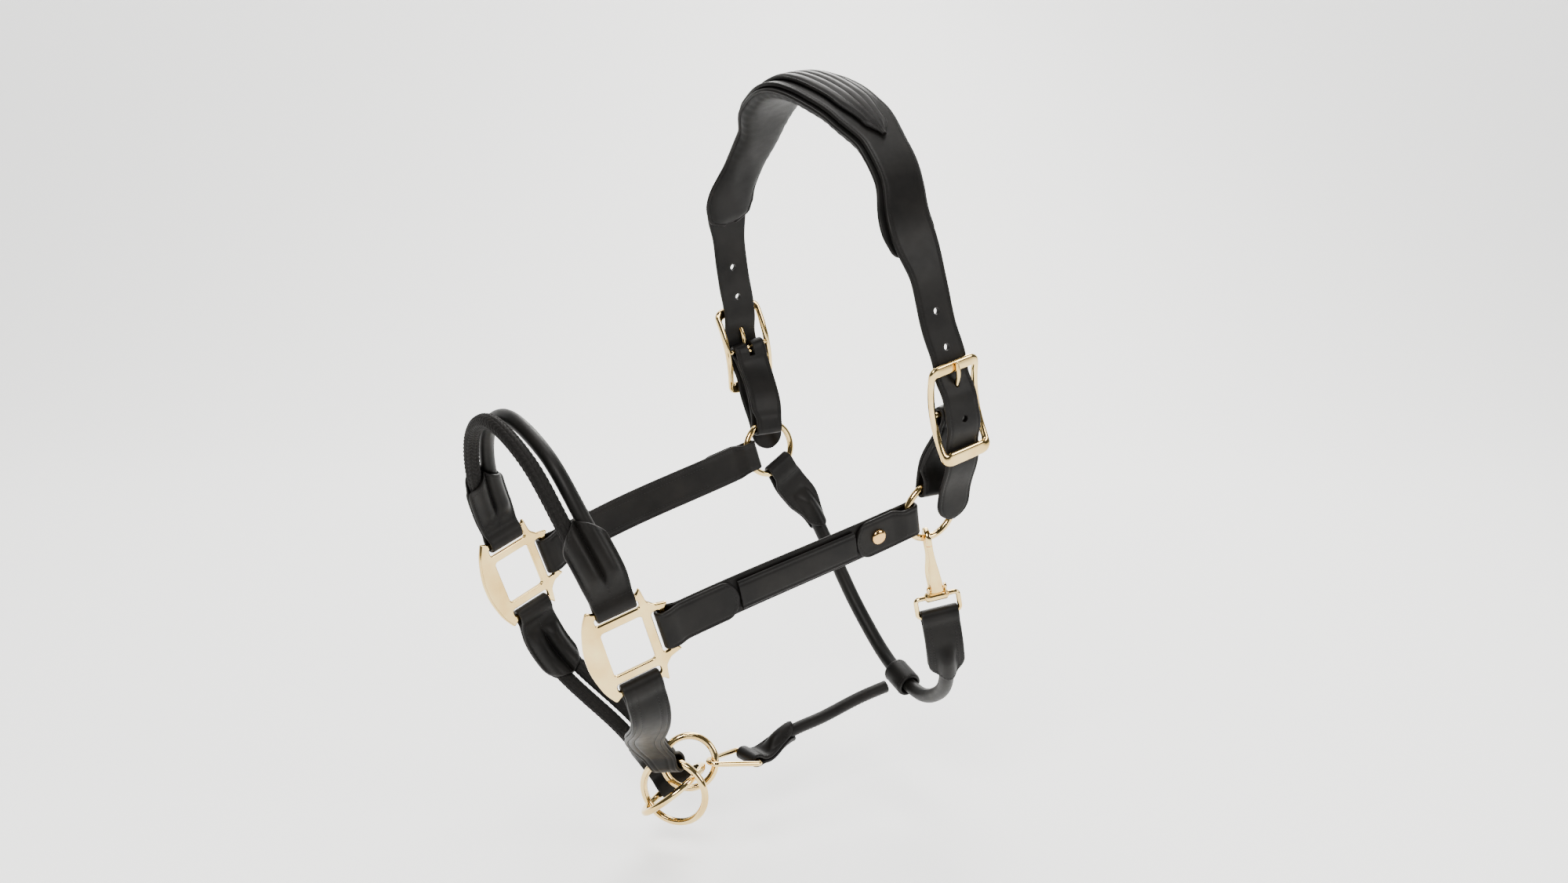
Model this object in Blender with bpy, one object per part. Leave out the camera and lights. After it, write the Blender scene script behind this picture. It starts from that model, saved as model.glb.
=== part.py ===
"""Leather headcollar with a padded crown, twin rolled nosebands and a clip-on throat strap.

The frame: the origin is under the middle of the crown, where it rests on the poll. -X points
towards the nose, +Z up, and the near side (the horse's left) is at -Y. Metres throughout.
"""
import bpy
import bmesh
from math import cos, sin, pi, radians, sqrt, tau
from mathutils import Matrix, Vector

MM = 0.001
GAP = 0.3 * MM                      # clearance between pieces that touch

# ---------------------------------------------------------------- driving dimensions
STRAP_WIDTH = 25 * MM
RING_STRAP_WIDTH = 21 * MM          # straps narrow where they fold round a ring
LEATHER = 2.4 * MM                  # one layer
CROWN_LEATHER = 3.2 * MM

POLL_SIDE = 95.5 * MM               # half the distance between the two upper rings
RING_CENTRE_X = 26.5 * MM
RING_CENTRE_Z = -253.5 * MM
RING_RADIUS = 19.0 * MM             # to the middle of the wire
RING_WIRE = 2.2 * MM                # wire radius
RING_LEAN = radians(8)              # the cheeks widen towards the top

SQUARE_CENTRE = Vector((-177.5, -79.0, -305.4)) * MM
SQUARE_TURN = radians(18)           # plate turned in its own plane
SQUARE_SPLAY = radians(8)           # plates open towards the back
SQUARE_LEAN = radians(5)            # and towards the top
SQUARE_THICK = 3.0 * MM
SLOT_LENGTH = STRAP_WIDTH + 3 * MM
SLOT_GAP = 5.0 * MM
SLOT_BAR = 3.6 * MM                 # outer bar of a strap slot
SLOT_WALL = 5.6 * MM                # metal between the window and a slot
WINDOW = Vector((26.5, 30.0)) * MM

BUCKLE_CENTRE = Vector((24.0, -126.0, -182.0)) * MM
CHAPE_LEAN = radians(18)            # the chape runs inwards from the buckle to the ring
BUCKLE_TILT = radians(12)           # the crown straps lean forward
BUCKLE_LENGTH = 57 * MM             # between the top and the lower bar
BUCKLE_WIDTH = 34 * MM              # between the side bars' middles
BUCKLE_DIP = 6.0 * MM               # how far the sides curve in at the centre bar
TOP_BAR = 7.0 * MM
LOWER_BAR = 8.6 * MM
SIDE_BAR = 4.2 * MM
BAR_THICK = 3.2 * MM
CENTRE_BAR = 1.7 * MM               # radius
TONGUE_RADIUS = 1.4 * MM
HOLE_RADIUS = 2.2 * MM
HOLE_PITCH = 23 * MM

CHEEK_SLOPE = radians(13.5)
CHEEK_FRONT_TURN = 47 * MM          # turned-back ends of the cheek strap
CHEEK_REAR_TURN = 43 * MM
OVERLAY_WIDTH = 19 * MM
OVERLAY_THICK = 2.6 * MM
STUD_RADIUS = 5.0 * MM
STUD_HEIGHT = 2.6 * MM
STUD_FROM_RING = 27 * MM
FOLD_PLAY = 0.45 * MM               # play of a fold round its bar or wire

ROLL_RADIUS = 5.0 * MM              # noseband roll and rope
ROLL_SPACING = 11.6 * MM
THROAT_RADIUS = 5.4 * MM
JOWL_RADIUS = 4.6 * MM
CHIN_RING_RADIUS = 22.3 * MM
LEAD_RING_RADIUS = 24.5 * MM
JOWL_RING_RADIUS = 17.6 * MM
CHIN_WIRE = 2.4 * MM

CHIN_RING_CENTRE = Vector((-112.3, -5.0, -448.4)) * MM
CHIN_TURN = radians(33)             # the chin rings face forward and to the near side
CHIN_PITCH = radians(14)
CHIN_RING_TILT = radians(26)
LEAD_SLOPE = radians(37.6)          # the lead ring's long way, up from level
STRAP_SHIFT = 0.33                  # how far forward round its ring the chin strap sits
CHIN_TAB = 54 * MM
CHIN_END_TAB = 50 * MM
CHIN_ROPE_MIDDLE = Vector((-122, 34, -415))
LINK_WIRE = 1.8 * MM
LINK_WIDTH = 27 * MM

NOSE_POINTS = [(-208, -68, -231), (-217, -43, -198), (-221.5, 0, -182)]
NOSE_TAB = 57 * MM
NOSE_RISE = radians(83)             # the noseband lies flat over the nose
NOSE_SIDE = 1

TAIL_POINTS = [(35, -107, -257), (33, -111.5, -238), (30.3, -121.4, -214), (28.9, -122.2, -205),
               (26.3, -126.9, -192), (24, -127.4, -182), (21.7, -126.9, -172), (19.1, -122.4, -160),
               (17.6, -121.6, -151), (12, -118.5, -132), (5, -114, -98), (-1, -104, -69)]
POLL_POINTS = [(5, -87, -44), (9, -60, -20), (4, -25, 2), (-3, 18, 11), (-2, 47, 0), (4, 74, -23),
               (3, 94, -48)]
CROWN_SIDE = Vector((1, 0, 0.12))   # across the crown, its rear edge a little higher
CROWN_WIDTHS = [(0, 12.5), (160, 12.8), (190, 16), (220, 14), (256, 15.5), (290, 21), (315, 23)]
PAD_WIDTHS = [(178, 12), (184, 16), (195, 18), (220, 15.5), (256, 17), (290, 22.5), (315, 24.5)]
PAD_START = 178                     # from the tail's tip
PAD_THICK = 9 * MM
OVERLAY_WIDTHS = [(262, 1.6), (275, 9), (300, 14), (330, 15)]
OVERLAY_START = 262
CROWN_OVERLAY_THICK = 2.4 * MM
TAIL_TIP = 12 * MM
HOLE_STEPS = (-1, 1, 2)
NOTCH_WIDTH = 2 * TONGUE_RADIUS + 1.6 * MM

JOWL_POINTS = [(-20, 0, -432), (10, -1, -426), (45, -3, -417), (62, -5, -413.5)]
JOWL_TAB = 40 * MM
SLEEVE_INNER = 6.6 * MM
SLEEVE_OUTER = 9.2 * MM
SLEEVE_LENGTH = 20 * MM
THROAT_SLOPE = radians(60)
THROAT_POINTS = [(54, 87, -297), (65, 72, -330), (73, 45, -372), (76, 5, -405), (74, -30, -413),
                 (66, -62, -398)]
THROAT_FAR_TAB = 58 * MM
THROAT_SNAP_TAB = 50 * MM
THROAT_TAB_WIDTH = 25 * MM

SNAP_TURN = radians(24)             # the snap faces a little forward
SNAP_LEAN = radians(12.5)
SNAP_RIGHT = Vector((cos(SNAP_TURN), -sin(SNAP_TURN), 0))
SNAP_UP = Vector((-sin(SNAP_LEAN), 0, cos(SNAP_LEAN)))
SNAP_RIGHT = (SNAP_RIGHT - SNAP_UP * SNAP_RIGHT.dot(SNAP_UP)).normalized()
SNAP_OUT = SNAP_RIGHT.cross(SNAP_UP)
SNAP_WIRE_POINT = Vector((RING_CENTRE_X, -POLL_SIDE + RING_RADIUS * sin(RING_LEAN),
                          RING_CENTRE_Z - RING_RADIUS * cos(RING_LEAN)))
SNAP_DROP = 42 * MM                 # from the ring's wire to the eye's upper bar
HOOK_RADIUS = 5.0 * MM
HOOK_HALF = 1.9 * MM
BARREL_RADIUS = 3.3 * MM
BARREL_LENGTH = 13 * MM
EAR_PLACE = 5.6 * MM                # ears that carry the gate's pin
EAR_HALF = 0.8 * MM
GATE_HALF = 4.3 * MM
PIN_RADIUS = 0.9 * MM
GATE_FOOT = (5.2 * MM, -34 * MM)
EYE_WIDTH = 28.5 * MM
EYE_HEIGHT = 13 * MM
EYE_WIRE = 1.6 * MM
SNAP_EYE_BAR = SNAP_WIRE_POINT - SNAP_UP * (SNAP_DROP + EYE_HEIGHT)

FACETS = 8                          # sides of a rolled piece
RING_STEPS = 36

NEAR_OUT = Vector((0, -1, 0))

# ---------------------------------------------------------------- materials
FINISHES = {
    "leather": ((0.020, 0.018, 0.017, 1), 0.45, 0.0),
    "rope": ((0.016, 0.015, 0.014, 1), 0.85, 0.0),
    "brass": ((0.88, 0.72, 0.42, 1), 0.16, 1.0),
    "steel": ((0.62, 0.62, 0.64, 1), 0.30, 1.0),
}


def make_material(node, finish):
    """A Principled material of its own for one piece."""
    colour, roughness, metallic = FINISHES[finish]
    material = bpy.data.materials.new(node)
    material.use_nodes = True
    shader = material.node_tree.nodes["Principled BSDF"]
    shader.inputs["Base Color"].default_value = colour
    shader.inputs["Roughness"].default_value = roughness
    shader.inputs["Metallic"].default_value = metallic
    return material


# ---------------------------------------------------------------- scene set-up
for old in list(bpy.data.objects):
    bpy.data.objects.remove(old, do_unlink=True)
PARTS = bpy.data.collections.new("leather_headcollar")
CUTTERS = bpy.data.collections.new("cutters")
bpy.context.scene.collection.children.link(PARTS)
bpy.context.scene.collection.children.link(CUTTERS)


def add_mesh(node, mesh, finish, smooth=True):
    """Put a mesh in the headcollar's collection as the piece called node."""
    piece = bpy.data.objects.new(node, mesh)
    PARTS.objects.link(piece)
    mesh.materials.append(make_material(node, finish))
    if smooth:
        mesh.shade_smooth()
        mesh.set_sharp_from_angle(angle=radians(40))
    return piece


def evaluated_mesh(piece):
    """The mesh of a piece with its modifiers applied, in world space."""
    graph = bpy.context.evaluated_depsgraph_get()
    graph.update()
    mesh = bpy.data.meshes.new_from_object(piece.evaluated_get(graph))
    mesh.transform(piece.matrix_world)
    return mesh


def mirrored(piece, node, finish):
    """A far-side copy of a near-side piece, mirrored in the XZ plane."""
    mesh = evaluated_mesh(piece)
    mesh.materials.clear()
    mesh.transform(Matrix.Scale(-1, 4, (0, 1, 0)))
    mesh.flip_normals()
    return add_mesh(node, mesh, finish)


def set_origin(piece, point):
    """Move a piece's origin to a point and keep its shape where it is."""
    piece.data.transform(Matrix.Translation(-point))
    piece.location = point


# ---------------------------------------------------------------- paths and skins
def smooth_run(points, steps):
    """A smooth run of points through the given ones, steps to a span, without overshoot."""
    ends = [points[0] * 2 - points[1]] + list(points) + [points[-1] * 2 - points[-2]]
    lengths = [(q - p).length for p, q in zip(ends, ends[1:])]
    slopes = [(q - p) / h for p, q, h in zip(ends, ends[1:], lengths)]
    turns = [(slopes[i] * lengths[i + 1] + slopes[i + 1] * lengths[i]) / (lengths[i] + lengths[i + 1])
             for i in range(len(points))]
    run = []
    for i in range(len(points) - 1):
        b, c, h = points[i], points[i + 1], lengths[i + 1]
        for k in range(steps):
            t = k / steps
            run.append(b * (1 + 2 * t) * (1 - t) ** 2 + c * t * t * (3 - 2 * t)
                       + turns[i] * h * t * (1 - t) ** 2 - turns[i + 1] * h * t * t * (1 - t))
    return run + [points[-1].copy()]


class Route:
    """A smooth centre line that can be read at any distance from its start."""

    def __init__(self, points, out=None, steps=12, across=None):
        self.points = smooth_run(points, steps)
        self.out = out                # a direction or a function of the share of the length
        self.across = across          # used instead, where the strap's cross direction is known
        self.marks = [0.0]
        for a, b in zip(self.points, self.points[1:]):
            self.marks.append(self.marks[-1] + (b - a).length)
        self.length = self.marks[-1]

    def at(self, distance):
        """Point, direction and outward normal at a distance; straight on past the ends."""
        i = 0
        while i < len(self.marks) - 2 and self.marks[i + 1] < distance:
            i += 1
        span = self.marks[i + 1] - self.marks[i]
        step = self.points[i + 1] - self.points[i]
        along = step.normalized()
        before = (self.points[i] - self.points[max(i - 1, 0)]) or step
        after = (self.points[min(i + 2, len(self.points) - 1)] - self.points[i + 1]) or step
        t = (distance - self.marks[i]) / span
        if 0 <= t <= 1:
            start = (along + before.normalized()).normalized()
            end = (along + after.normalized()).normalized()
            along = start.lerp(end, t).normalized()
        share = min(max(distance / self.length, 0), 1)
        if self.across:
            out = self.across.cross(along)
        else:
            out = self.out(share) if callable(self.out) else self.out
        out = (out - along * out.dot(along)).normalized()
        return self.points[i] + step * t, along, out


def strap_ring(centre, across, out, half_width, half_thick):
    """The eight corners of a flat strap's cross-section, its edges bevelled."""
    bevel = min(half_thick * 0.7, half_width * 0.5)
    corners = [(1, 1, -bevel, 0), (1, 1, 0, -bevel), (1, -1, 0, bevel), (1, -1, -bevel, 0),
               (-1, -1, bevel, 0), (-1, -1, 0, bevel), (-1, 1, 0, -bevel), (-1, 1, bevel, 0)]
    return [centre + across * (sx * half_width + dx) + out * (sy * half_thick + dy)
            for sx, sy, dx, dy in corners]


def skin(node, rings, finish, closed=False):
    """Skin a run of cross-sections into one closed body."""
    body = bmesh.new()
    loops = [[body.verts.new(point) for point in ring] for ring in rings]
    following = loops[1:] + loops[:1] if closed else loops[1:]
    for a, b in zip(loops, following):
        for i, corner in enumerate(a):
            j = (i + 1) % len(a)
            body.faces.new((corner, a[j], b[j], b[i]))
    if not closed:
        body.faces.new(loops[0])
        body.faces.new(loops[-1])
    bmesh.ops.recalc_face_normals(body, faces=body.faces)
    mesh = bpy.data.meshes.new(node)
    body.to_mesh(mesh)
    body.free()
    return add_mesh(node, mesh, finish)


def spread(start, stop, step):
    """Evenly spaced distances from start to stop, both included."""
    count = max(1, round(abs(stop - start) / step))
    return [start + (stop - start) * k / count for k in range(count + 1)]


def ease(t):
    """Smooth step from 0 to 1."""
    t = min(max(t, 0), 1)
    return t * t * (3 - 2 * t)


class Fold:
    """How a strap goes round a bar or a wire at one end of its route."""

    def __init__(self, inner_radius, open_run=2 * MM, neck=9 * MM, turn_back=None, half_width=None):
        self.inner_radius = inner_radius
        self.open_run = open_run      # straight run beside the bar before the layers close
        self.neck = neck              # length over which they close
        self.turn_back = turn_back    # length of the outer layer, None for all of it
        self.half_width = half_width


def folded_strap(node, route, start, end, finish="leather", thick=LEATHER, width=STRAP_WIDTH,
                 tip=10 * MM, parting=None, widths=None, step=6 * MM):
    """One strip of leather folded round a bar at either end of its route.

    The inner layer runs the whole way and each fold brings an outer layer back over it. With a
    fold at both ends and no turn_back the strip is a closed belt. parting gives half the distance
    between the layers where they part to take something in, and widths the half width.
    """
    half = thick / 2
    closed = GAP / 2 + half
    ends = [(fold, at) for fold, at in ((start, 0.0), (end, route.length)) if fold]
    belt = len(ends) == 2 and start.turn_back is None and end.turn_back is None

    def offset(s):
        value = closed
        for fold, at in ends:
            wide = fold.inner_radius + half
            shut = ease((abs(s - at) - fold.open_run) / fold.neck)
            value = max(value, wide + (closed - wide) * shut)
        return max(value, parting(s) + half) if parting else value

    def half_width(s):
        value = widths(s) if widths else width / 2
        for fold, at in ends:
            if fold.half_width:
                shut = ease((abs(s - at) - fold.open_run) / fold.neck)
                value = fold.half_width + (value - fold.half_width) * shut
        return value

    def ring(s, turn, left=None):
        """Section at distance s; turn is 0 on the outer layer and pi on the inner one."""
        point, along, out = route.at(s)
        ahead = along if s > route.length / 2 else -along
        away = out * cos(turn) + ahead * sin(turn)
        wide = half_width(s)
        if left is not None:
            wide *= max(sqrt(max(1 - max(1 - left / tip, 0) ** 2, 0)), 0.25)
        return strap_ring(point + away * offset(s), out.cross(along), away, wide, half)

    bend = [pi * k / 6 for k in range(1, 6)]
    rings = []
    if start:
        back = start.turn_back or route.length
        rings += [ring(s, 0, None if belt else back - s) for s in spread(back, 0, step)]
        rings += [ring(0, turn) for turn in bend]
    rings += [ring(s, pi, None if end else route.length - s) for s in spread(0, route.length, step)]
    if end:
        rings += [ring(route.length, turn) for turn in reversed(bend)]
    if end and not belt:
        back = end.turn_back or route.length
        rings += [ring(route.length - s, 0, back - s) for s in spread(0, back, step)]
    return skin(node, rings, finish, closed=belt)


def plain_strap(node, route, start, stop, half_width, thick, finish="leather", lift=0.0, step=6 * MM):
    """One flat layer between two distances on a route; half_width is a function of distance."""
    rings = []
    for s in spread(start, stop, step):
        point, along, out = route.at(s)
        rings.append(strap_ring(point + out * lift, out.cross(along), out, half_width(s), thick / 2))
    return skin(node, rings, finish)


def wire_ring(node, centre, axis, radius, wire, facets=FACETS):
    """A closed round ring of wire, its origin at its centre."""
    bpy.ops.mesh.primitive_torus_add(major_radius=radius, minor_radius=wire,
                                     major_segments=RING_STEPS, minor_segments=facets)
    mesh = bpy.context.object.data
    bpy.data.objects.remove(bpy.context.object, do_unlink=True)
    mesh.name = node
    mesh.transform(axis.to_track_quat("Z", "Y").to_matrix().to_4x4())
    piece = add_mesh(node, mesh, "brass")
    piece.location = centre
    return piece


def flat_plate(node, outlines, thick):
    """A plate cut from sheet: the first outline with the others as holes, its edges bevelled."""
    curve = bpy.data.curves.new(node, "CURVE")
    curve.dimensions = "2D"
    curve.fill_mode = "BOTH"
    curve.extrude = thick / 2
    for outline in outlines:
        spline = curve.splines.new("POLY")
        spline.points.add(len(outline) - 1)
        for target, (u, v) in zip(spline.points, outline):
            target.co = (u, v, 0, 1)
        spline.use_cyclic_u = True
    shape = bpy.data.objects.new(node, curve)
    PARTS.objects.link(shape)
    mesh = evaluated_mesh(shape)
    bpy.data.objects.remove(shape, do_unlink=True)
    body = bmesh.new()
    body.from_mesh(mesh)
    bmesh.ops.remove_doubles(body, verts=body.verts, dist=0.00001)
    bmesh.ops.recalc_face_normals(body, faces=body.faces)
    body.to_mesh(mesh)
    body.free()
    return mesh


def placed(mesh, centre, right, up):
    """Stand a mesh made in XY at centre, its X along right and its Y along up."""
    frame = Matrix((right, up, right.cross(up))).transposed().to_4x4()
    mesh.transform(Matrix.Translation(centre) @ frame)
    return mesh


def rounded(points, radius, steps=3):
    """A polygon with its corners turned into arcs; radius can be one value or one per corner."""
    radii = radius if isinstance(radius, (list, tuple)) else [radius] * len(points)
    outline = []
    for i, corner in enumerate(points):
        corner = Vector(corner)
        before = (Vector(points[i - 1]) - corner).normalized()
        after = (Vector(points[(i + 1) % len(points)]) - corner).normalized()
        for k in range(steps + 1):
            t = k / steps
            a, b = corner + before * radii[i], corner + after * radii[i]
            outline.append(a.lerp(corner, t).lerp(corner.lerp(b, t), t))
    return outline


def box_outline(centre, width, height, radius):
    """A rounded rectangle round a point."""
    u, v = centre
    a, b = width / 2, height / 2
    return rounded([(u - a, v - b), (u + a, v - b), (u + a, v + b), (u - a, v + b)], radius)


def cut_cylinder(piece, centre, axis, radius, length):
    """Cut a round hole through a piece."""
    bpy.ops.mesh.primitive_cylinder_add(vertices=12, radius=radius, depth=length)
    cutter = bpy.context.object
    cutter.name = piece.name + "_hole"
    cutter.matrix_world = Matrix.Translation(centre) @ axis.to_track_quat("Z", "Y").to_matrix().to_4x4()
    for home in list(cutter.users_collection):
        home.objects.unlink(cutter)
    CUTTERS.objects.link(cutter)
    cutter.hide_render = True
    cutter.display_type = "WIRE"
    cut = piece.modifiers.new("hole", "BOOLEAN")
    cut.object = cutter
    cut.operation = "DIFFERENCE"
    cut.solver = "EXACT"


# ---------------------------------------------------------------- squares
def plate_axes():
    """The near plate's own right (towards the cheek) and up directions."""
    back = Vector((cos(SQUARE_SPLAY), -sin(SQUARE_SPLAY), 0))
    up = Vector((0, -sin(SQUARE_LEAN), cos(SQUARE_LEAN)))
    up = (up - back * up.dot(back)).normalized()
    return back * cos(SQUARE_TURN) + up * sin(SQUARE_TURN), up * cos(SQUARE_TURN) - back * sin(SQUARE_TURN)


PLATE_RIGHT, PLATE_UP = plate_axes()
PLATE_OUT = PLATE_RIGHT.cross(PLATE_UP)
WINDOW_OFFSET = -4.0 * MM                                   # the window sits left of the centre
SLOT_TOP = WINDOW.y / 2 + SLOT_WALL + SLOT_GAP / 2          # slot middles from the plate's centre
SLOT_SIDE = WINDOW_OFFSET + WINDOW.x / 2 + SLOT_WALL + SLOT_GAP / 2
BAR_TOP = SLOT_TOP + (SLOT_GAP + SLOT_BAR) / 2              # outer bar middles
BAR_SIDE = SLOT_SIDE + (SLOT_GAP + SLOT_BAR) / 2


def build_square():
    """The near square plate: curved outer edge, horned corners, a window and three slots."""
    edge = BAR_SIDE + SLOT_BAR / 2
    top = BAR_TOP + SLOT_BAR / 2
    left = WINDOW_OFFSET - WINDOW.x / 2
    upper = [(edge, 13.0 * MM), (edge + 3 * MM, 16.5 * MM), (edge - 5 * MM, 18.5 * MM),
             (edge - 9 * MM, 22.5 * MM), (edge - 10.5 * MM, top + 3.5 * MM), (edge - 13.5 * MM, top),
             (left, top), (left - 4 * MM, top + 2.5 * MM), (left - 9 * MM, top - 6 * MM),
             (left - 12 * MM, top - 17 * MM), (left - 13.2 * MM, 5 * MM)]
    outline = upper + [(u, -v) for u, v in reversed(upper)]
    middle = WINDOW_OFFSET
    holes = [box_outline((middle, 0), WINDOW.x, WINDOW.y, 2.5 * MM),
             box_outline((middle, SLOT_TOP), SLOT_LENGTH, SLOT_GAP, 2 * MM),
             box_outline((middle, -SLOT_TOP), SLOT_LENGTH, SLOT_GAP, 2 * MM),
             box_outline((SLOT_SIDE, 0), SLOT_GAP, SLOT_LENGTH, 2 * MM)]
    mesh = flat_plate("near_square_plate", [rounded(outline, 1.4 * MM, 2)] + holes, SQUARE_THICK)
    placed(mesh, SQUARE_CENTRE, PLATE_RIGHT, PLATE_UP)
    return add_mesh("near_square_plate", mesh, "brass")


# ---------------------------------------------------------------- upper rings and cheeks
RING_CENTRE = Vector((RING_CENTRE_X, -POLL_SIDE, RING_CENTRE_Z))
RING_OUT = Vector((0, -cos(RING_LEAN), -sin(RING_LEAN)))
RING_UP = Vector((0, -sin(RING_LEAN), cos(RING_LEAN)))


def ring_seat(radius, wire, half_width):
    """Distance from a ring's centre to the axis of a strap's fold inside it, and the run of
    strap beside the wire's arc."""
    low = sqrt(radius ** 2 - half_width ** 2)
    slope = low / radius
    axis = low - wire / slope + wire
    return axis, radius + wire + GAP - axis


RING_SEAT, RING_RUN = ring_seat(RING_RADIUS, RING_WIRE, RING_STRAP_WIDTH / 2)
RING_FOLD = RING_WIRE + FOLD_PLAY
BAR_FOLD = sqrt((SLOT_BAR / 2) ** 2 + (SQUARE_THICK / 2) ** 2) + FOLD_PLAY
TO_SQUARE = -Vector((cos(CHEEK_SLOPE), 0, 0)) - RING_UP * sin(CHEEK_SLOPE)
FAR_OUT = Vector((0, -RING_OUT.y, RING_OUT.z))
THROAT_DROP = Vector((cos(THROAT_SLOPE), RING_UP.y * sin(THROAT_SLOPE), -RING_UP.z * sin(THROAT_SLOPE)))


def blend_out(a, b):
    """Outward normal turning from a to b along a route."""
    return lambda share: a.lerp(b, ease(share)).normalized()


def cheek_route():
    bar = SQUARE_CENTRE + PLATE_RIGHT * BAR_SIDE
    seat = RING_CENTRE + TO_SQUARE * RING_SEAT
    return Route([bar, bar + PLATE_RIGHT * 12 * MM, seat + TO_SQUARE * 20 * MM, seat],
                 blend_out(PLATE_OUT, RING_OUT))


def build_cheek():
    """Near cheek strap with both turned-back ends, its raised overlay and its stud."""
    route = cheek_route()
    strap = folded_strap("near_cheek_strap", route,
                         Fold(BAR_FOLD, turn_back=CHEEK_FRONT_TURN),
                         Fold(RING_FOLD, RING_RUN, turn_back=CHEEK_REAR_TURN,
                              half_width=RING_STRAP_WIDTH / 2))
    overlay = plain_strap("near_cheek_overlay", route, CHEEK_FRONT_TURN + 1 * MM,
                          route.length - CHEEK_REAR_TURN - 1 * MM, lambda s: OVERLAY_WIDTH / 2,
                          OVERLAY_THICK, lift=OVERLAY_THICK / 2 + GAP / 2)
    point, along, out = route.at(route.length - STUD_FROM_RING)
    stud = build_stud(point + out * (GAP / 2 + LEATHER + GAP), out)
    return strap, overlay, stud


def build_stud(seat, out):
    """A domed stud that sits on the rear turn-back."""
    profile = [(0.0, STUD_HEIGHT), (0.45, STUD_HEIGHT * 0.93), (0.8, STUD_HEIGHT * 0.6), (1.0, 0.0), (0.0, 0.0)]
    return turned("near_cheek_stud", [(r * STUD_RADIUS, z) for r, z in profile], seat, out, "brass", 16)


def turned(node, profile, seat, axis, finish, steps):
    """A solid turned from a profile (radius, height) about an axis."""
    body = bmesh.new()
    rings = []
    for radius, height in profile:
        if radius == 0:
            rings.append([body.verts.new((0, 0, height))])
        else:
            rings.append([body.verts.new((radius * cos(tau * k / steps), radius * sin(tau * k / steps), height))
                          for k in range(steps)])
    for a, b in zip(rings, rings[1:]):
        for k in range(steps):
            j = (k + 1) % steps
            corners = [a[k % len(a)], b[k % len(b)], b[j % len(b)], a[j % len(a)]]
            body.faces.new(list(dict.fromkeys(corners)))
    bmesh.ops.recalc_face_normals(body, faces=body.faces)
    mesh = bpy.data.meshes.new(node)
    body.to_mesh(mesh)
    body.free()
    mesh.transform(axis.to_track_quat("Z", "Y").to_matrix().to_4x4())
    piece = add_mesh(node, mesh, finish)
    piece.location = seat
    return piece


# ---------------------------------------------------------------- buckles
BUCKLE_UP = Vector((-sin(BUCKLE_TILT), 0, cos(BUCKLE_TILT)))
BUCKLE_RIGHT = Vector((cos(BUCKLE_TILT), 0, sin(BUCKLE_TILT)))
BAR_CENTRE = BUCKLE_CENTRE - NEAR_OUT * BUCKLE_DIP


def build_buckle_frame():
    """Cast frame: wide top and lower bars, sides that curve in to the thin centre bar."""
    a, b = BUCKLE_WIDTH / 2, BUCKLE_LENGTH / 2
    outline = rounded([(-a, -b), (a, -b), (a, 0), (a, b), (-a, b), (-a, 0)],
                      [6 * MM, 6 * MM, 9 * MM, 6 * MM, 6 * MM, 9 * MM], 4)
    rings = []
    for i, point in enumerate(outline):
        u, v = point
        ahead = outline[(i + 1) % len(outline)] - outline[i - 1]
        along = (BUCKLE_RIGHT * ahead.x + BUCKLE_UP * ahead.y).normalized()
        level = abs(v) / b
        dip = BUCKLE_DIP * (1 - level ** 2)
        centre = BUCKLE_CENTRE + BUCKLE_RIGHT * u + BUCKLE_UP * v - NEAR_OUT * dip
        broad = (LOWER_BAR if v < 0 else TOP_BAR) / 2
        flat = ease((level - 0.88) / 0.12)
        half_width = SIDE_BAR / 2 + (broad - SIDE_BAR / 2) * flat
        half_thick = SIDE_BAR * 0.5 + (BAR_THICK / 2 - SIDE_BAR * 0.5) * flat
        rings.append(strap_ring(centre, NEAR_OUT.cross(along).normalized(), NEAR_OUT, half_width, half_thick))
    frame = skin("near_buckle_frame", rings, "brass", closed=True)
    bpy.ops.mesh.primitive_cylinder_add(vertices=12, radius=CENTRE_BAR, depth=BUCKLE_WIDTH)
    bar = bpy.context.object
    bar.name = "near_buckle_centre_bar"
    bar.matrix_world = (Matrix.Translation(BAR_CENTRE)
                        @ BUCKLE_RIGHT.to_track_quat("Z", "Y").to_matrix().to_4x4())
    join_with(frame, bar)
    return frame


def join_with(piece, other, operation="UNION"):
    """Join (or cut) a piece with another mesh object, which becomes a hidden cutter."""
    for home in list(other.users_collection):
        home.objects.unlink(other)
    CUTTERS.objects.link(other)
    other.hide_render = True
    other.display_type = "WIRE"
    modifier = piece.modifiers.new(operation.lower(), "BOOLEAN")
    modifier.object = other
    modifier.operation = operation
    modifier.solver = "EXACT"


def on_bar(out, up):
    """A point in the buckle's middle plane, measured from its centre bar."""
    return BAR_CENTRE + NEAR_OUT * out + BUCKLE_UP * up


TOP_REST = BUCKLE_DIP + BAR_THICK / 2 + GAP + TONGUE_RADIUS     # tongue tip on the top bar
EYE = CENTRE_BAR + GAP + TONGUE_RADIUS
TONGUE_KNEE = on_bar(EYE + 0.2 * MM, 11.5 * MM)
TONGUE_BEND = on_bar(TOP_REST - 0.4 * MM, BUCKLE_LENGTH / 2 - 5 * MM)


def build_tongue():
    """The tongue: an eye round the centre bar and a pin through the strap onto the top bar."""
    eye = [on_bar(EYE * cos(radians(d)), EYE * sin(radians(d))) for d in range(-150, 1, 30)]
    path = eye + [TONGUE_KNEE, TONGUE_BEND, on_bar(TOP_REST, BUCKLE_LENGTH / 2 + 2.5 * MM)]
    tongue = tube("near_buckle_tongue", path, TONGUE_RADIUS, "brass")
    set_origin(tongue, BAR_CENTRE)
    return tongue


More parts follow.
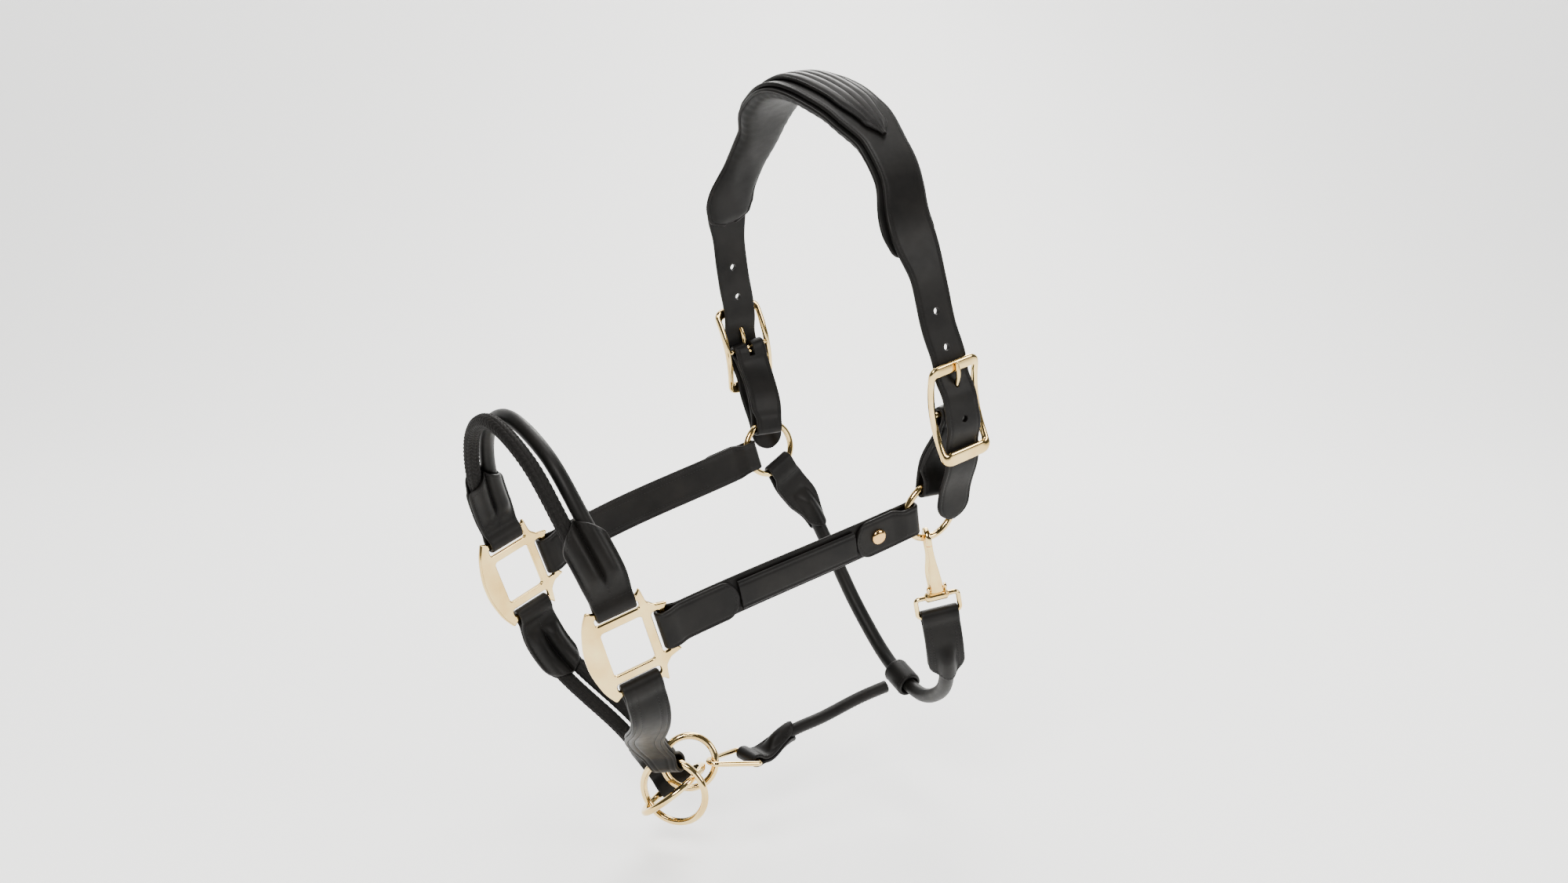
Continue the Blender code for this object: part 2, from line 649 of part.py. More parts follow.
def build_chape():
    """Folded leather that ties the centre bar to the upper ring, notched for the tongue."""
    seat = RING_CENTRE + RING_UP * RING_SEAT
    down = -BUCKLE_UP * cos(CHAPE_LEAN) - NEAR_OUT * sin(CHAPE_LEAN)
    route = Route([BAR_CENTRE, BAR_CENTRE + down * 12 * MM, seat + RING_UP * 16 * MM, seat],
                  blend_out(NEAR_OUT, RING_OUT))
    chape = folded_strap("near_buckle_chape", route, Fold(CENTRE_BAR + FOLD_PLAY),
                         Fold(RING_FOLD, RING_RUN, half_width=RING_STRAP_WIDTH / 2))
    notch = box_cutter("near_chape_notch", on_bar(0, 1 * MM), (NOTCH_WIDTH, 14 * MM, 13 * MM))
    join_with(chape, notch, "DIFFERENCE")
    return chape


def box_cutter(name, centre, size):
    """A box in the buckle's own axes."""
    bpy.ops.mesh.primitive_cube_add(size=1)
    box = bpy.context.object
    box.name = name
    frame = Matrix((BUCKLE_RIGHT, -NEAR_OUT, BUCKLE_UP)).transposed().to_4x4()
    box.data.transform(Matrix.Translation(centre) @ frame @ Matrix.Diagonal((*size, 1)))
    return box


# ---------------------------------------------------------------- crown
def crown_route():
    """Middle line of the crown strap, from the near tail's tip over the poll to the far one."""
    near = [Vector(p) * MM for p in TAIL_POINTS]
    far = [Vector((p.x, -p.y, p.z)) for p in reversed(near)]
    return Route(near + [Vector(p) * MM for p in POLL_POINTS] + far, across=CROWN_SIDE)


def width_at(table, m):
    """Half width at distance m from a tail's tip, eased between the (distance, value) pairs."""
    for (a, u), (b, v) in zip(table, table[1:]):
        if m <= b:
            return (u + (v - u) * ease((m - a) / (b - a))) * MM
    return table[-1][1] * MM


def build_crown():
    """The crown strap with its two punched tails, its padded lining and its raised overlay."""
    route = crown_route()

    def from_tail(s):
        return min(s, route.length - s)

    def strap_width(s):
        tip = max(sqrt(max(1 - max(1 - from_tail(s) / TAIL_TIP, 0) ** 2, 0)), 0.2)
        return width_at(CROWN_WIDTHS, from_tail(s) / MM) * tip

    strap = plain_strap("crown_strap", route, 0, route.length, strap_width, CROWN_LEATHER, step=7 * MM)
    direction = (TONGUE_BEND - TONGUE_KNEE).normalized()
    for side in (1, -1):
        flip = Vector((1, side, 1))
        centre = TONGUE_KNEE.lerp(TONGUE_BEND, 0.5) * flip
        cut_cylinder(strap, centre, direction * flip, TONGUE_RADIUS + 0.55 * MM, 16 * MM)
        for k in HOLE_STEPS:
            s = tongue_distance(route) + k * HOLE_PITCH
            point, along, out = route.at(s)
            cut_cylinder(strap, point * flip, out * flip, HOLE_RADIUS, 8 * MM)
    start = PAD_START * MM
    rings = []
    for s in spread(start, route.length - start, 9 * MM):
        point, along, out = route.at(s)
        half_width = width_at(PAD_WIDTHS, from_tail(s) / MM)
        thick = PAD_THICK * (0.5 + 0.5 * ease((from_tail(s) - start) / (90 * MM)))
        seat = point - out * (CROWN_LEATHER / 2 + GAP)
        rings.append(pad_ring(seat, out.cross(along), out, half_width, thick))
    pad = skin("crown_pad", rings, "leather")
    start = OVERLAY_START * MM
    overlay = plain_strap("crown_overlay", route, start, route.length - start,
                          lambda s: width_at(OVERLAY_WIDTHS, from_tail(s) / MM), CROWN_OVERLAY_THICK,
                          lift=(CROWN_LEATHER + CROWN_OVERLAY_THICK) / 2 + GAP, step=7 * MM)
    return strap, pad, overlay


def pad_ring(seat, across, out, half_width, thick):
    """A cushion's cross-section: flat against the strap, rounded edges, narrower underneath."""
    profile = [(0.9, 0), (1, -0.2), (1, -0.45), (0.86, -0.75), (0.6, -0.95), (0.2, -1)]
    half = [(u * half_width, v * thick) for u, v in profile]
    return [seat + across * u + out * v for u, v in half + [(-u, v) for u, v in reversed(half)]]


def tongue_distance(route):
    """Distance along the crown where the tongue comes through."""
    goal = TONGUE_KNEE.lerp(TONGUE_BEND, 0.5)
    return min(spread(0, route.length / 2, 1 * MM), key=lambda s: (route.at(s)[0] - goal).length)


def tube(node, path, radius, finish, cyclic=False, sides=FACETS):
    """A round rod or wire along a run of points."""
    curve = bpy.data.curves.new(node, "CURVE")
    curve.dimensions = "3D"
    curve.bevel_depth = radius
    curve.bevel_resolution = sides // 4
    curve.use_fill_caps = not cyclic
    spline = curve.splines.new("POLY")
    spline.points.add(len(path) - 1)
    for target, point in zip(spline.points, path):
        target.co = (*point, 1)
    spline.use_cyclic_u = cyclic
    shape = bpy.data.objects.new(node, curve)
    PARTS.objects.link(shape)
    mesh = evaluated_mesh(shape)
    bpy.data.objects.remove(shape, do_unlink=True)
    return add_mesh(node, mesh, finish)


# ---------------------------------------------------------------- noseband
def mirror_points(points):
    """Hand-chosen near points, a middle one last, followed by their far mirror images."""
    near = [Vector(p) * MM for p in points]
    return near + [Vector((p.x, -p.y, p.z)) for p in reversed(near[:-1])]


def nose_route():
    """Middle line of the noseband between the two squares' top bars."""
    bar = SQUARE_CENTRE + PLATE_UP * BAR_TOP + PLATE_RIGHT * WINDOW_OFFSET
    near = [bar, bar + PLATE_UP * 14 * MM] + [Vector(p) * MM for p in NOSE_POINTS]
    far = [Vector((p.x, -p.y, p.z)) for p in reversed(near[:-1])]
    return Route(near + far, nose_out)


def nose_out(share):
    """Outward at the sides and forward over the nose."""
    turn = pi / 2 * ease((0.5 - abs(share - 0.5) - 0.22) / 0.28)
    side = -1 if share < 0.5 else 1
    forward = Vector((-cos(NOSE_RISE), 0, sin(NOSE_RISE)))
    return (PLATE_OUT * Vector((1, -side, 1))) * cos(turn) + forward * sin(turn)


def part_for(radius, start, stop):
    """Half the distance between two layers that part between start and stop to hold a roll."""
    return lambda s: (radius + 3 * GAP) * ease((s - start) / (stop - start))


def build_noseband():
    """Rope and roll side by side, held between the layers of a tab on either square."""
    route = nose_route()
    near_end = Route([route.at(s)[0] for s in spread(0, NOSE_TAB, 6 * MM)], PLATE_OUT, steps=3)
    widths = lambda s: (STRAP_WIDTH / 2 + 1.6 * MM * ease(s / (22 * MM)))
    tab = folded_strap("near_nose_tab", near_end, Fold(BAR_FOLD, neck=7 * MM), None, widths=widths,
                       parting=part_for(ROLL_RADIUS, 10 * MM, 24 * MM), tip=16 * MM)
    for node, side, finish in (("nose_rope", 1, "rope"), ("nose_roll", -1, "leather")):
        path = []
        for s in spread(NOSE_TAB * 0.5, route.length - NOSE_TAB * 0.5, 11 * MM):
            point, along, out = route.at(s)
            path.append(point + out.cross(along) * side * NOSE_SIDE * ROLL_SPACING / 2)
        tube(node, path, ROLL_RADIUS, finish)
    mirrored(tab, "far_nose_tab", "leather")


# ---------------------------------------------------------------- chin
CHIN_RIGHT = Vector((cos(CHIN_TURN), -sin(CHIN_TURN), 0))
CHIN_OUT = Vector((-sin(CHIN_TURN) * cos(CHIN_PITCH), -cos(CHIN_TURN) * cos(CHIN_PITCH), sin(CHIN_PITCH)))
CHIN_UP = CHIN_OUT.cross(CHIN_RIGHT)
LEAD_ALONG = CHIN_RIGHT * cos(LEAD_SLOPE) + CHIN_UP * sin(LEAD_SLOPE)
LEAD_AXIS = CHIN_UP * cos(LEAD_SLOPE) - CHIN_RIGHT * sin(LEAD_SLOPE)
CHIN_RING_AXIS = CHIN_OUT * cos(CHIN_RING_TILT) - LEAD_ALONG * sin(CHIN_RING_TILT)
LEAD_CENTRE = CHIN_RING_CENTRE - LEAD_ALONG * 1.5 * MM - CHIN_OUT * 12 * MM
JOWL_RING_CENTRE = CHIN_RING_CENTRE + CHIN_RIGHT * 9.2 * MM + CHIN_UP * 16.6 * MM - CHIN_OUT * 15 * MM
LINK_BAR = JOWL_RING_CENTRE + CHIN_RIGHT * (JOWL_RING_RADIUS + 1 * MM) + Vector((28, 4, -5)) * MM


def square_bottom():
    """Middle of the near square's bottom bar."""
    return SQUARE_CENTRE - PLATE_UP * BAR_TOP + PLATE_RIGHT * WINDOW_OFFSET


def build_chin():
    """The near chin strap, the far tab with its two ropes, and the three linked rings."""
    wire_ring("near_chin_ring", CHIN_RING_CENTRE, CHIN_RING_AXIS, CHIN_RING_RADIUS, CHIN_WIRE)
    wire_ring("lead_ring", LEAD_CENTRE, LEAD_AXIS, LEAD_RING_RADIUS, CHIN_WIRE)
    wire_ring("jowl_ring", JOWL_RING_CENTRE, CHIN_OUT, JOWL_RING_RADIUS, CHIN_WIRE)

    top = square_bottom()
    toward = (top - CHIN_RING_CENTRE).normalized() - CHIN_RIGHT * STRAP_SHIFT
    toward = (toward - CHIN_RING_AXIS * toward.dot(CHIN_RING_AXIS)).normalized()
    sag = CHIN_RING_RADIUS - sqrt(CHIN_RING_RADIUS ** 2 - (RING_STRAP_WIDTH / 2) ** 2)
    low = CHIN_RING_CENTRE + toward * (CHIN_RING_RADIUS - sag / 2)
    fold = Fold(CHIN_WIRE + sag / 2 + FOLD_PLAY, neck=12 * MM, half_width=RING_STRAP_WIDTH / 2)
    tangent = toward.cross(CHIN_RING_AXIS)
    down = low - top
    down = (down - tangent * down.dot(tangent)).normalized()
    route = Route([top, top - PLATE_UP * 12 * MM, low - down * 24 * MM, low],
                  blend_out(PLATE_OUT, down.cross(tangent)))
    folded_strap("near_chin_strap", route, Fold(BAR_FOLD), fold)

    far_top = Vector((top.x, -top.y, top.z))
    far_up = Vector((PLATE_UP.x, -PLATE_UP.y, PLATE_UP.z))
    inward = Vector((-PLATE_OUT.x, PLATE_OUT.y, -PLATE_OUT.z))
    hold = LEAD_CENTRE - CHIN_OUT * (LEAD_RING_RADIUS - 1.9 * MM)
    route = Route([far_top, far_top - far_up * 20 * MM, CHIN_ROPE_MIDDLE * MM,
                   hold + LEAD_AXIS * 26 * MM, hold], blend_out(inward, CHIN_OUT))
    length = route.length
    start = Route([route.at(s)[0] for s in spread(0, CHIN_TAB, 6 * MM)], blend_out(inward, route.at(CHIN_TAB)[2]),
                  steps=3)
    folded_strap("far_chin_tab", start, Fold(BAR_FOLD, neck=7 * MM), None, tip=16 * MM,
                 widths=lambda s: STRAP_WIDTH / 2 + 1.6 * MM * ease(s / (22 * MM)),
                 parting=part_for(ROLL_RADIUS, 10 * MM, 24 * MM))
    end = Route([route.at(length - s)[0] for s in spread(0, CHIN_END_TAB, 6 * MM)],
                blend_out(CHIN_OUT, route.at(length - CHIN_END_TAB)[2]), steps=3)
    folded_strap("chin_rope_end_tab", end, Fold(CHIN_WIRE + 1.9 * MM + FOLD_PLAY, 3 * MM), None,
                 parting=part_for(ROLL_RADIUS, 20 * MM, 34 * MM), tip=16 * MM)
    for node, side in (("chin_rope_upper", 1), ("chin_rope_lower", -1)):
        path = []
        for s in spread(CHIN_TAB * 0.55, length - CHIN_END_TAB * 0.88, 10 * MM):
            point, along, out = route.at(s)
            path.append(point + out.cross(along) * side * ROLL_SPACING / 2)
        tube(node, path, ROLL_RADIUS, "rope")


# ---------------------------------------------------------------- jowl and throat
CAUGHT = JOWL_RING_CENTRE + CHIN_RIGHT * JOWL_RING_RADIUS      # where the link hangs on the ring
LINK_AHEAD = (LINK_BAR - CAUGHT).normalized()
BAR_WAY = (Vector((0, 1, 0)) - LINK_AHEAD * LINK_AHEAD.y).normalized()


def build_link():
    """Closed triangle of wire: its round corner in the jowl ring, its straight bar in the tab."""
    half = BAR_WAY * LINK_WIDTH / 2
    bend = CHIN_WIRE + LINK_WIRE + 2 * GAP
    corner = [CAUGHT + (LINK_AHEAD * cos(t) + BAR_WAY * sin(t)) * bend
              for t in (radians(d) for d in range(100, 261, 20))]
    flat = [LINK_BAR - half, LINK_BAR + half]
    ends = rounded([corner[-1]] + flat + [corner[0]], 3.5 * MM, 4)
    link = tube("triangle_link", corner + ends[5:15], LINK_WIRE, "brass", cyclic=True)
    set_origin(link, LINK_BAR)
    return link


def build_jowl():
    """Jowl strap: a tab folded on the link, a roll and a sleeve that slides on the throat strap."""
    points = [LINK_BAR, LINK_BAR + LINK_AHEAD * 10 * MM] + [Vector(p) * MM for p in JOWL_POINTS]
    route = Route(points, across=-BAR_WAY)
    tab_route = Route([route.at(s)[0] for s in spread(0, JOWL_TAB, 6 * MM)], across=-BAR_WAY, steps=3)
    folded_strap("jowl_front_tab", tab_route, Fold(LINK_WIRE + FOLD_PLAY, neck=6 * MM), None, tip=12 * MM,
                 parting=part_for(JOWL_RADIUS, 12 * MM, 26 * MM),
                 widths=lambda s: (9.4 - 2.6 * ease((s / MM - 12) / 20)) * MM)
    path = [route.at(s)[0] for s in spread(JOWL_TAB * 0.75, route.length, 9 * MM)]
    tube("jowl_roll", path, JOWL_RADIUS, "leather")


def throat_route():
    """Middle line of the throat strap from the far ring to the snap's eye."""
    seat = Vector((RING_CENTRE.x, -RING_CENTRE.y, RING_CENTRE.z)) + THROAT_DROP * RING_SEAT
    points = [seat, seat + THROAT_DROP * 16 * MM] + [Vector(p) * MM for p in THROAT_POINTS]
    return Route(points + [SNAP_EYE_BAR - SNAP_UP * 22 * MM, SNAP_EYE_BAR], throat_out)


def throat_out(share):
    """Away from the head all the way round the throat."""
    turn = pi * ease(share)
    inner = Vector((0, cos(turn), -sin(turn)))
    if share < 0.2:
        inner = FAR_OUT.lerp(inner, ease(share / 0.2))
    return inner.lerp(SNAP_OUT, ease((share - 0.7) / 0.3)).normalized() if share > 0.7 else inner


def build_throat():
    """The rolled throat strap, its tab on the far ring and its tab on the snap's eye."""
    route = throat_route()
    length = route.length
    far = Route([route.at(s)[0] for s in spread(0, THROAT_FAR_TAB, 6 * MM)], throat_out(0), steps=3)
    folded_strap("throat_far_tab", far, Fold(RING_FOLD, RING_RUN, half_width=RING_STRAP_WIDTH / 2), None,
                 parting=part_for(THROAT_RADIUS, 22 * MM, 38 * MM), tip=4 * MM,
                 widths=lambda s: (STRAP_WIDTH / 2 - 5 * MM * ease((s - 30 * MM) / (22 * MM))))
    near = Route([route.at(length - s)[0] for s in spread(0, THROAT_SNAP_TAB, 6 * MM)], SNAP_OUT, steps=3)
    folded_strap("throat_snap_tab", near, Fold(EYE_WIRE + FOLD_PLAY, neck=6 * MM), None, tip=13 * MM,
                 parting=part_for(THROAT_RADIUS, 20 * MM, 34 * MM), width=THROAT_TAB_WIDTH)
    path = [route.at(s)[0] for s in spread(THROAT_FAR_TAB * 0.66, length - THROAT_SNAP_TAB * 0.84, 11 * MM)]
    tube("throat_roll", path, THROAT_RADIUS, "leather")
    middle = min(spread(0, length, 2 * MM), key=lambda s: (route.at(s)[0] - Vector(JOWL_POINTS[-1]) * MM).length)
    point, along, out = route.at(middle)
    sleeve(point, along)


def sleeve(point, along):
    """The loop of leather that carries the jowl roll along the throat strap."""
    profile = [(SLEEVE_INNER, -SLEEVE_LENGTH / 2), (SLEEVE_OUTER, -SLEEVE_LENGTH / 2),
               (SLEEVE_OUTER, SLEEVE_LENGTH / 2), (SLEEVE_INNER, SLEEVE_LENGTH / 2),
               (SLEEVE_INNER, -SLEEVE_LENGTH / 2)]
    rings = [[(r, z) for r, z in profile[:4]]]
    frame = along.to_track_quat("Z", "Y").to_matrix()
    loops = []
    for k in range(16):
        turn = tau * k / 16
        loops.append([point + frame @ Vector((r * cos(turn), r * sin(turn), z)) for r, z in rings[0]])
    return skin("jowl_sleeve", loops, "leather", closed=True)


# ---------------------------------------------------------------- snap
def on_snap(out, up, right=0.0):
    """A point of the snap measured from the middle of the ring's wire that it hangs on."""
    return SNAP_WIRE_POINT + SNAP_OUT * out + SNAP_UP * up + SNAP_RIGHT * right


def build_snap():
    """Rectangular eye, cast body with its hook, sprung gate, the gate's pin and its spring."""
    a, b = EYE_WIDTH / 2, EYE_HEIGHT / 2
    middle = -SNAP_DROP - b
    corners = [on_snap(0, middle + v, u) for u, v in ((-a, -b), (a, -b), (a, b), (-a, b))]
    tube("snap_eye", rounded(corners, 3 * MM, 3), EYE_WIRE, "brass", cyclic=True)

    bend = [(HOOK_RADIUS * cos(radians(d)), HOOK_RADIUS * sin(radians(d))) for d in range(180, -1, -30)]
    spine = ([(1.0 * MM, -SNAP_DROP + 2.5 * MM), (-1.5 * MM, -SNAP_DROP + 9 * MM), (-HOOK_RADIUS, -14 * MM)]
             + bend + [(HOOK_RADIUS, -3.5 * MM)])
    rings = []
    for i, (o, u) in enumerate(spine):
        before, after = spine[max(i - 1, 0)], spine[min(i + 1, len(spine) - 1)]
        along = (SNAP_OUT * (after[0] - before[0]) + SNAP_UP * (after[1] - before[1])).normalized()
        broad = HOOK_HALF + 2.6 * MM * ease((-u - 12 * MM) / (16 * MM))
        rings.append(strap_ring(on_snap(o, u), SNAP_RIGHT, SNAP_RIGHT.cross(along), broad, HOOK_HALF * 0.9))
    body = skin("snap_body", rings, "brass")
    join_with(body, rod("snap_barrel", on_snap(0, -SNAP_DROP), SNAP_RIGHT, BARREL_RADIUS, BARREL_LENGTH))
    foot_out, foot_up = GATE_FOOT
    lean = (SNAP_OUT * foot_out + SNAP_UP * (foot_up + SNAP_DROP)).normalized()
    for side in (1, -1):
        ends = [on_snap(0, -SNAP_DROP, side * EAR_PLACE), on_snap(foot_out, foot_up, side * EAR_PLACE) + lean * 2 * MM]
        ear = skin("snap_ear", [strap_ring(p, SNAP_RIGHT.cross(lean), SNAP_RIGHT, 2.1 * MM, EAR_HALF) for p in ends],
                   "brass")
        join_with(body, ear)
    cut_cylinder(body, on_snap(0, -SNAP_DROP), SNAP_RIGHT, EYE_WIRE + 0.35 * MM, BARREL_LENGTH + 4 * MM)
    pivot = on_snap(*GATE_FOOT)
    cut_cylinder(body, pivot, SNAP_RIGHT, PIN_RADIUS + GAP, 16 * MM)
    set_origin(body, on_snap(0, -SNAP_DROP))
    pin = rod("snap_gate_pin", pivot, SNAP_RIGHT, PIN_RADIUS, 2 * (EAR_PLACE + EAR_HALF))
    gate = build_gate()
    cut_cylinder(gate, pivot, SNAP_RIGHT, PIN_RADIUS + GAP, 16 * MM)
    set_origin(gate, pivot)
    return body, gate, pin


def build_gate():
    """The sprung gate: broad at its pin, narrow where it meets the hook's tip."""
    foot, head = GATE_FOOT, (HOOK_RADIUS, -3.5 * MM - 2 * GAP)
    along = (SNAP_OUT * (head[0] - foot[0]) + SNAP_UP * (head[1] - foot[1])).normalized()
    rings = []
    for t in (-0.08, 0.0, 0.2, 0.45, 0.75, 1.0):
        centre = on_snap(foot[0] + (head[0] - foot[0]) * t, foot[1] + (head[1] - foot[1]) * t)
        broad = GATE_HALF - (GATE_HALF - HOOK_HALF) * max(t, 0)
        rings.append(strap_ring(centre, SNAP_RIGHT, SNAP_RIGHT.cross(along), broad, (2.2 - 0.7 * max(t, 0)) * MM))
    return skin("snap_gate", rings, "brass")


def rod(node, centre, axis, radius, length):
    """A plain round rod."""
    half = axis * length / 2
    return tube(node, [centre - half, centre + half], radius, "brass", sides=16)


# ---------------------------------------------------------------- assembly
def far_copy(piece, finish):
    """The far-side twin of a near piece, its origin mirrored too."""
    origin = piece.location.copy()
    twin = mirrored(piece, piece.name.replace("near", "far"), finish)
    set_origin(twin, Vector((origin.x, -origin.y, origin.z)))
    return twin


def main():
    """Build every piece, the near side first and its far twin after it."""
    far_copy(build_square(), "brass")
    far_copy(wire_ring("near_upper_ring", RING_CENTRE, RING_OUT, RING_RADIUS, RING_WIRE), "brass")
    strap, overlay, stud = build_cheek()
    far_copy(strap, "leather")
    far_copy(overlay, "leather")
    far_copy(stud, "brass")
    far_copy(build_buckle_frame(), "brass")
    far_copy(build_tongue(), "brass")
    far_copy(build_chape(), "leather")
    build_crown()
    build_noseband()
    build_chin()
    build_link()
    build_jowl()
    build_throat()
    build_snap()


main()
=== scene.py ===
"""Leather headcollar: the finished leather, plaited cord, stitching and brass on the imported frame.

The frame's origin is under the crown at the poll, -X points to the nose, +Z up and the near
side is at -Y. Every length is in metres.
"""
import logging
from dataclasses import dataclass, field
from enum import Enum
from math import cos, exp, floor, pi, radians, sin, sqrt, tau
from typing import Callable, Optional, Sequence

import bpy
import bmesh
from mathutils import Matrix, Vector


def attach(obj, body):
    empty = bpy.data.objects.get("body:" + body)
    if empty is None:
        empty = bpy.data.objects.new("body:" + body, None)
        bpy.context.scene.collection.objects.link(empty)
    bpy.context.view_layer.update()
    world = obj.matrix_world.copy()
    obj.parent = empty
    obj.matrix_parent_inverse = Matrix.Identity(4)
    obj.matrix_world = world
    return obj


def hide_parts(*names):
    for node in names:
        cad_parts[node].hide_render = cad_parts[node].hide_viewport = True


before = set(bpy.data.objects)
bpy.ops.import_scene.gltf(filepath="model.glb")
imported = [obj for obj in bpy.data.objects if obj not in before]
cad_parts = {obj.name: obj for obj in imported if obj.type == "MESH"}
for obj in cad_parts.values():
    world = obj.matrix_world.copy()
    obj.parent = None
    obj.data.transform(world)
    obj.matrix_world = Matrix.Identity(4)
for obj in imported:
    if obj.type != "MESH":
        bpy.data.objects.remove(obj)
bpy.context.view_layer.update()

LOG = logging.getLogger("headcollar")
MM = 0.001
GAP = 0.3 * MM
NEAR_OUT = Vector((0, -1, 0))
SHARP_ANGLE = radians(50)
STITCH_DIP = 0.34 * MM              # how far a row of stitches pulls the leather in
STITCH_DIP_WIDTH = 0.75 * MM
EDGE_INSET = 2.2 * MM               # from a strap's edge to its row of stitches


# ------------------------------------------------------------------ finishes
class Slot(Enum):
    """The record's material slots."""

    LEATHER = "black_leather"
    CORD = "plaited_cord"
    BRASS = "polished_brass"


class NodeSheet:
    """A material's node tree with short calls for the nodes that the finishes share."""

    def __init__(self, name: str) -> None:
        """Start a material that holds one Principled shader."""
        self.material = bpy.data.materials.new(name)
        self.material.use_nodes = True
        self.nodes = self.material.node_tree.nodes
        self.links = self.material.node_tree.links
        self.shader = self.nodes["Principled BSDF"]
        self.coordinates = self.nodes.new("ShaderNodeTexCoord").outputs["Object"]

    def noise(self, scale: float, detail: float = 3.0, stretch: Optional[Sequence[float]] = None):
        """Noise in object space.

        Args:
            scale: waves per metre.
            detail: octaves.
            stretch: scale along each axis, where the noise is drawn out.

        Returns:
            The noise's output socket.
        """
        node = self.nodes.new("ShaderNodeTexNoise")
        node.inputs["Scale"].default_value = scale
        node.inputs["Detail"].default_value = detail
        source = self.coordinates
        if stretch:
            mapping = self.nodes.new("ShaderNodeMapping")
            mapping.inputs["Scale"].default_value = stretch
            self.links.new(source, mapping.inputs["Vector"])
            source = mapping.outputs["Vector"]
        self.links.new(source, node.inputs["Vector"])
        return node.outputs["Fac"]

    def cells(self, scale: float):
        """Distance to the edges of Voronoi cells, for leather grain."""
        node = self.nodes.new("ShaderNodeTexVoronoi")
        node.feature = "DISTANCE_TO_EDGE"
        node.inputs["Scale"].default_value = scale
        self.links.new(self.coordinates, node.inputs["Vector"])
        return node.outputs["Distance"]

    def ramp(self, value, stops: Sequence[tuple]):
        """Map a value through a colour ramp; stops are (place, colour)."""
        node = self.nodes.new("ShaderNodeValToRGB")
        ramp = node.color_ramp
        while len(ramp.elements) < len(stops):
            ramp.elements.new(0.5)
        for element, (place, colour) in zip(ramp.elements, stops):
            element.position = place
            element.color = (*colour, 1.0)
        self.links.new(value, node.inputs["Fac"])
        return node.outputs["Color"]

    def span(self, value, low: float, high: float):
        """Map a 0 to 1 value onto low to high."""
        node = self.nodes.new("ShaderNodeMapRange")
        node.inputs["To Min"].default_value = low
        node.inputs["To Max"].default_value = high
        self.links.new(value, node.inputs["Value"])
        return node.outputs["Result"]

    def bump(self, value, strength: float, height: float, under=None):
        """A bump of that height in metres, over another bump where given."""
        node = self.nodes.new("ShaderNodeBump")
        node.inputs["Strength"].default_value = strength
        node.inputs["Distance"].default_value = height
        self.links.new(value, node.inputs["Height"])
        if under is not None:
            self.links.new(under, node.inputs["Normal"])
        return node.outputs["Normal"]

    def plug(self, source, socket: str) -> None:
        """Link a socket to one of the shader's inputs."""
        self.links.new(source, self.shader.inputs[socket])


@dataclass(frozen=True)
class LeatherFinish:
    """Black harness leather: satin, fine grain, slight cloudiness and creases."""

    name: str = "harness_leather"
    dark: tuple = (0.0022, 0.0020, 0.0018)
    light: tuple = (0.0075, 0.0066, 0.0058)
    grain: float = 1500.0
    gloss: tuple = (0.40, 0.56)
    slot: Slot = Slot.LEATHER

    def material(self) -> bpy.types.Material:
        """Build the finish's node material."""
        sheet = NodeSheet(self.name)
        cloud = sheet.noise(46.0, 4.0)
        sheet.plug(sheet.ramp(cloud, [(0.32, self.dark), (0.74, self.light)]), "Base Color")
        sheet.plug(sheet.span(sheet.noise(170.0), *self.gloss), "Roughness")
        sheet.shader.inputs["Specular IOR Level"].default_value = 0.13
        sheet.shader.inputs["Coat Weight"].default_value = 0.02
        sheet.shader.inputs["Coat Roughness"].default_value = 0.30
        grain = sheet.bump(sheet.cells(self.grain), 0.30, 0.00012)
        pores = sheet.bump(sheet.noise(4200.0, 2.0), 0.18, 0.00006, under=grain)
        sheet.plug(sheet.bump(sheet.noise(120.0, 5.0), 0.25, 0.0004, under=pores), "Normal")
        return sheet.material


@dataclass(frozen=True)
class CordFinish:
    """Plaited cord: matt black yarn with a fine twist."""

    name: str = "plaited_yarn"
    dark: tuple = (0.0025, 0.0023, 0.0021)
    light: tuple = (0.012, 0.011, 0.0102)
    slot: Slot = Slot.CORD

    def material(self) -> bpy.types.Material:
        """Build the finish's node material."""
        sheet = NodeSheet(self.name)
        yarn = sheet.noise(2600.0, 3.0)
        sheet.plug(sheet.ramp(yarn, [(0.3, self.dark), (0.72, self.light)]), "Base Color")
        sheet.plug(sheet.span(sheet.noise(420.0), 0.62, 0.85), "Roughness")
        sheet.shader.inputs["Specular IOR Level"].default_value = 0.12
        sheet.plug(sheet.bump(yarn, 0.55, 0.00016), "Normal")
        return sheet.material


@dataclass(frozen=True)
class ThreadFinish:
    """Waxed black thread."""

    name: str = "waxed_thread"
    dark: tuple = (0.0018, 0.0017, 0.0016)
    light: tuple = (0.0052, 0.0048, 0.0045)
    slot: Slot = Slot.LEATHER

    def material(self) -> bpy.types.Material:
        """Build the finish's node material."""
        sheet = NodeSheet(self.name)
        twist = sheet.noise(5200.0, 1.0)
        sheet.plug(sheet.ramp(twist, [(0.35, self.dark), (0.7, self.light)]), "Base Color")
        sheet.plug(sheet.span(twist, 0.50, 0.66), "Roughness")
        sheet.shader.inputs["Specular IOR Level"].default_value = 0.2
        sheet.plug(sheet.bump(twist, 0.4, 0.0001), "Normal")
        return sheet.material


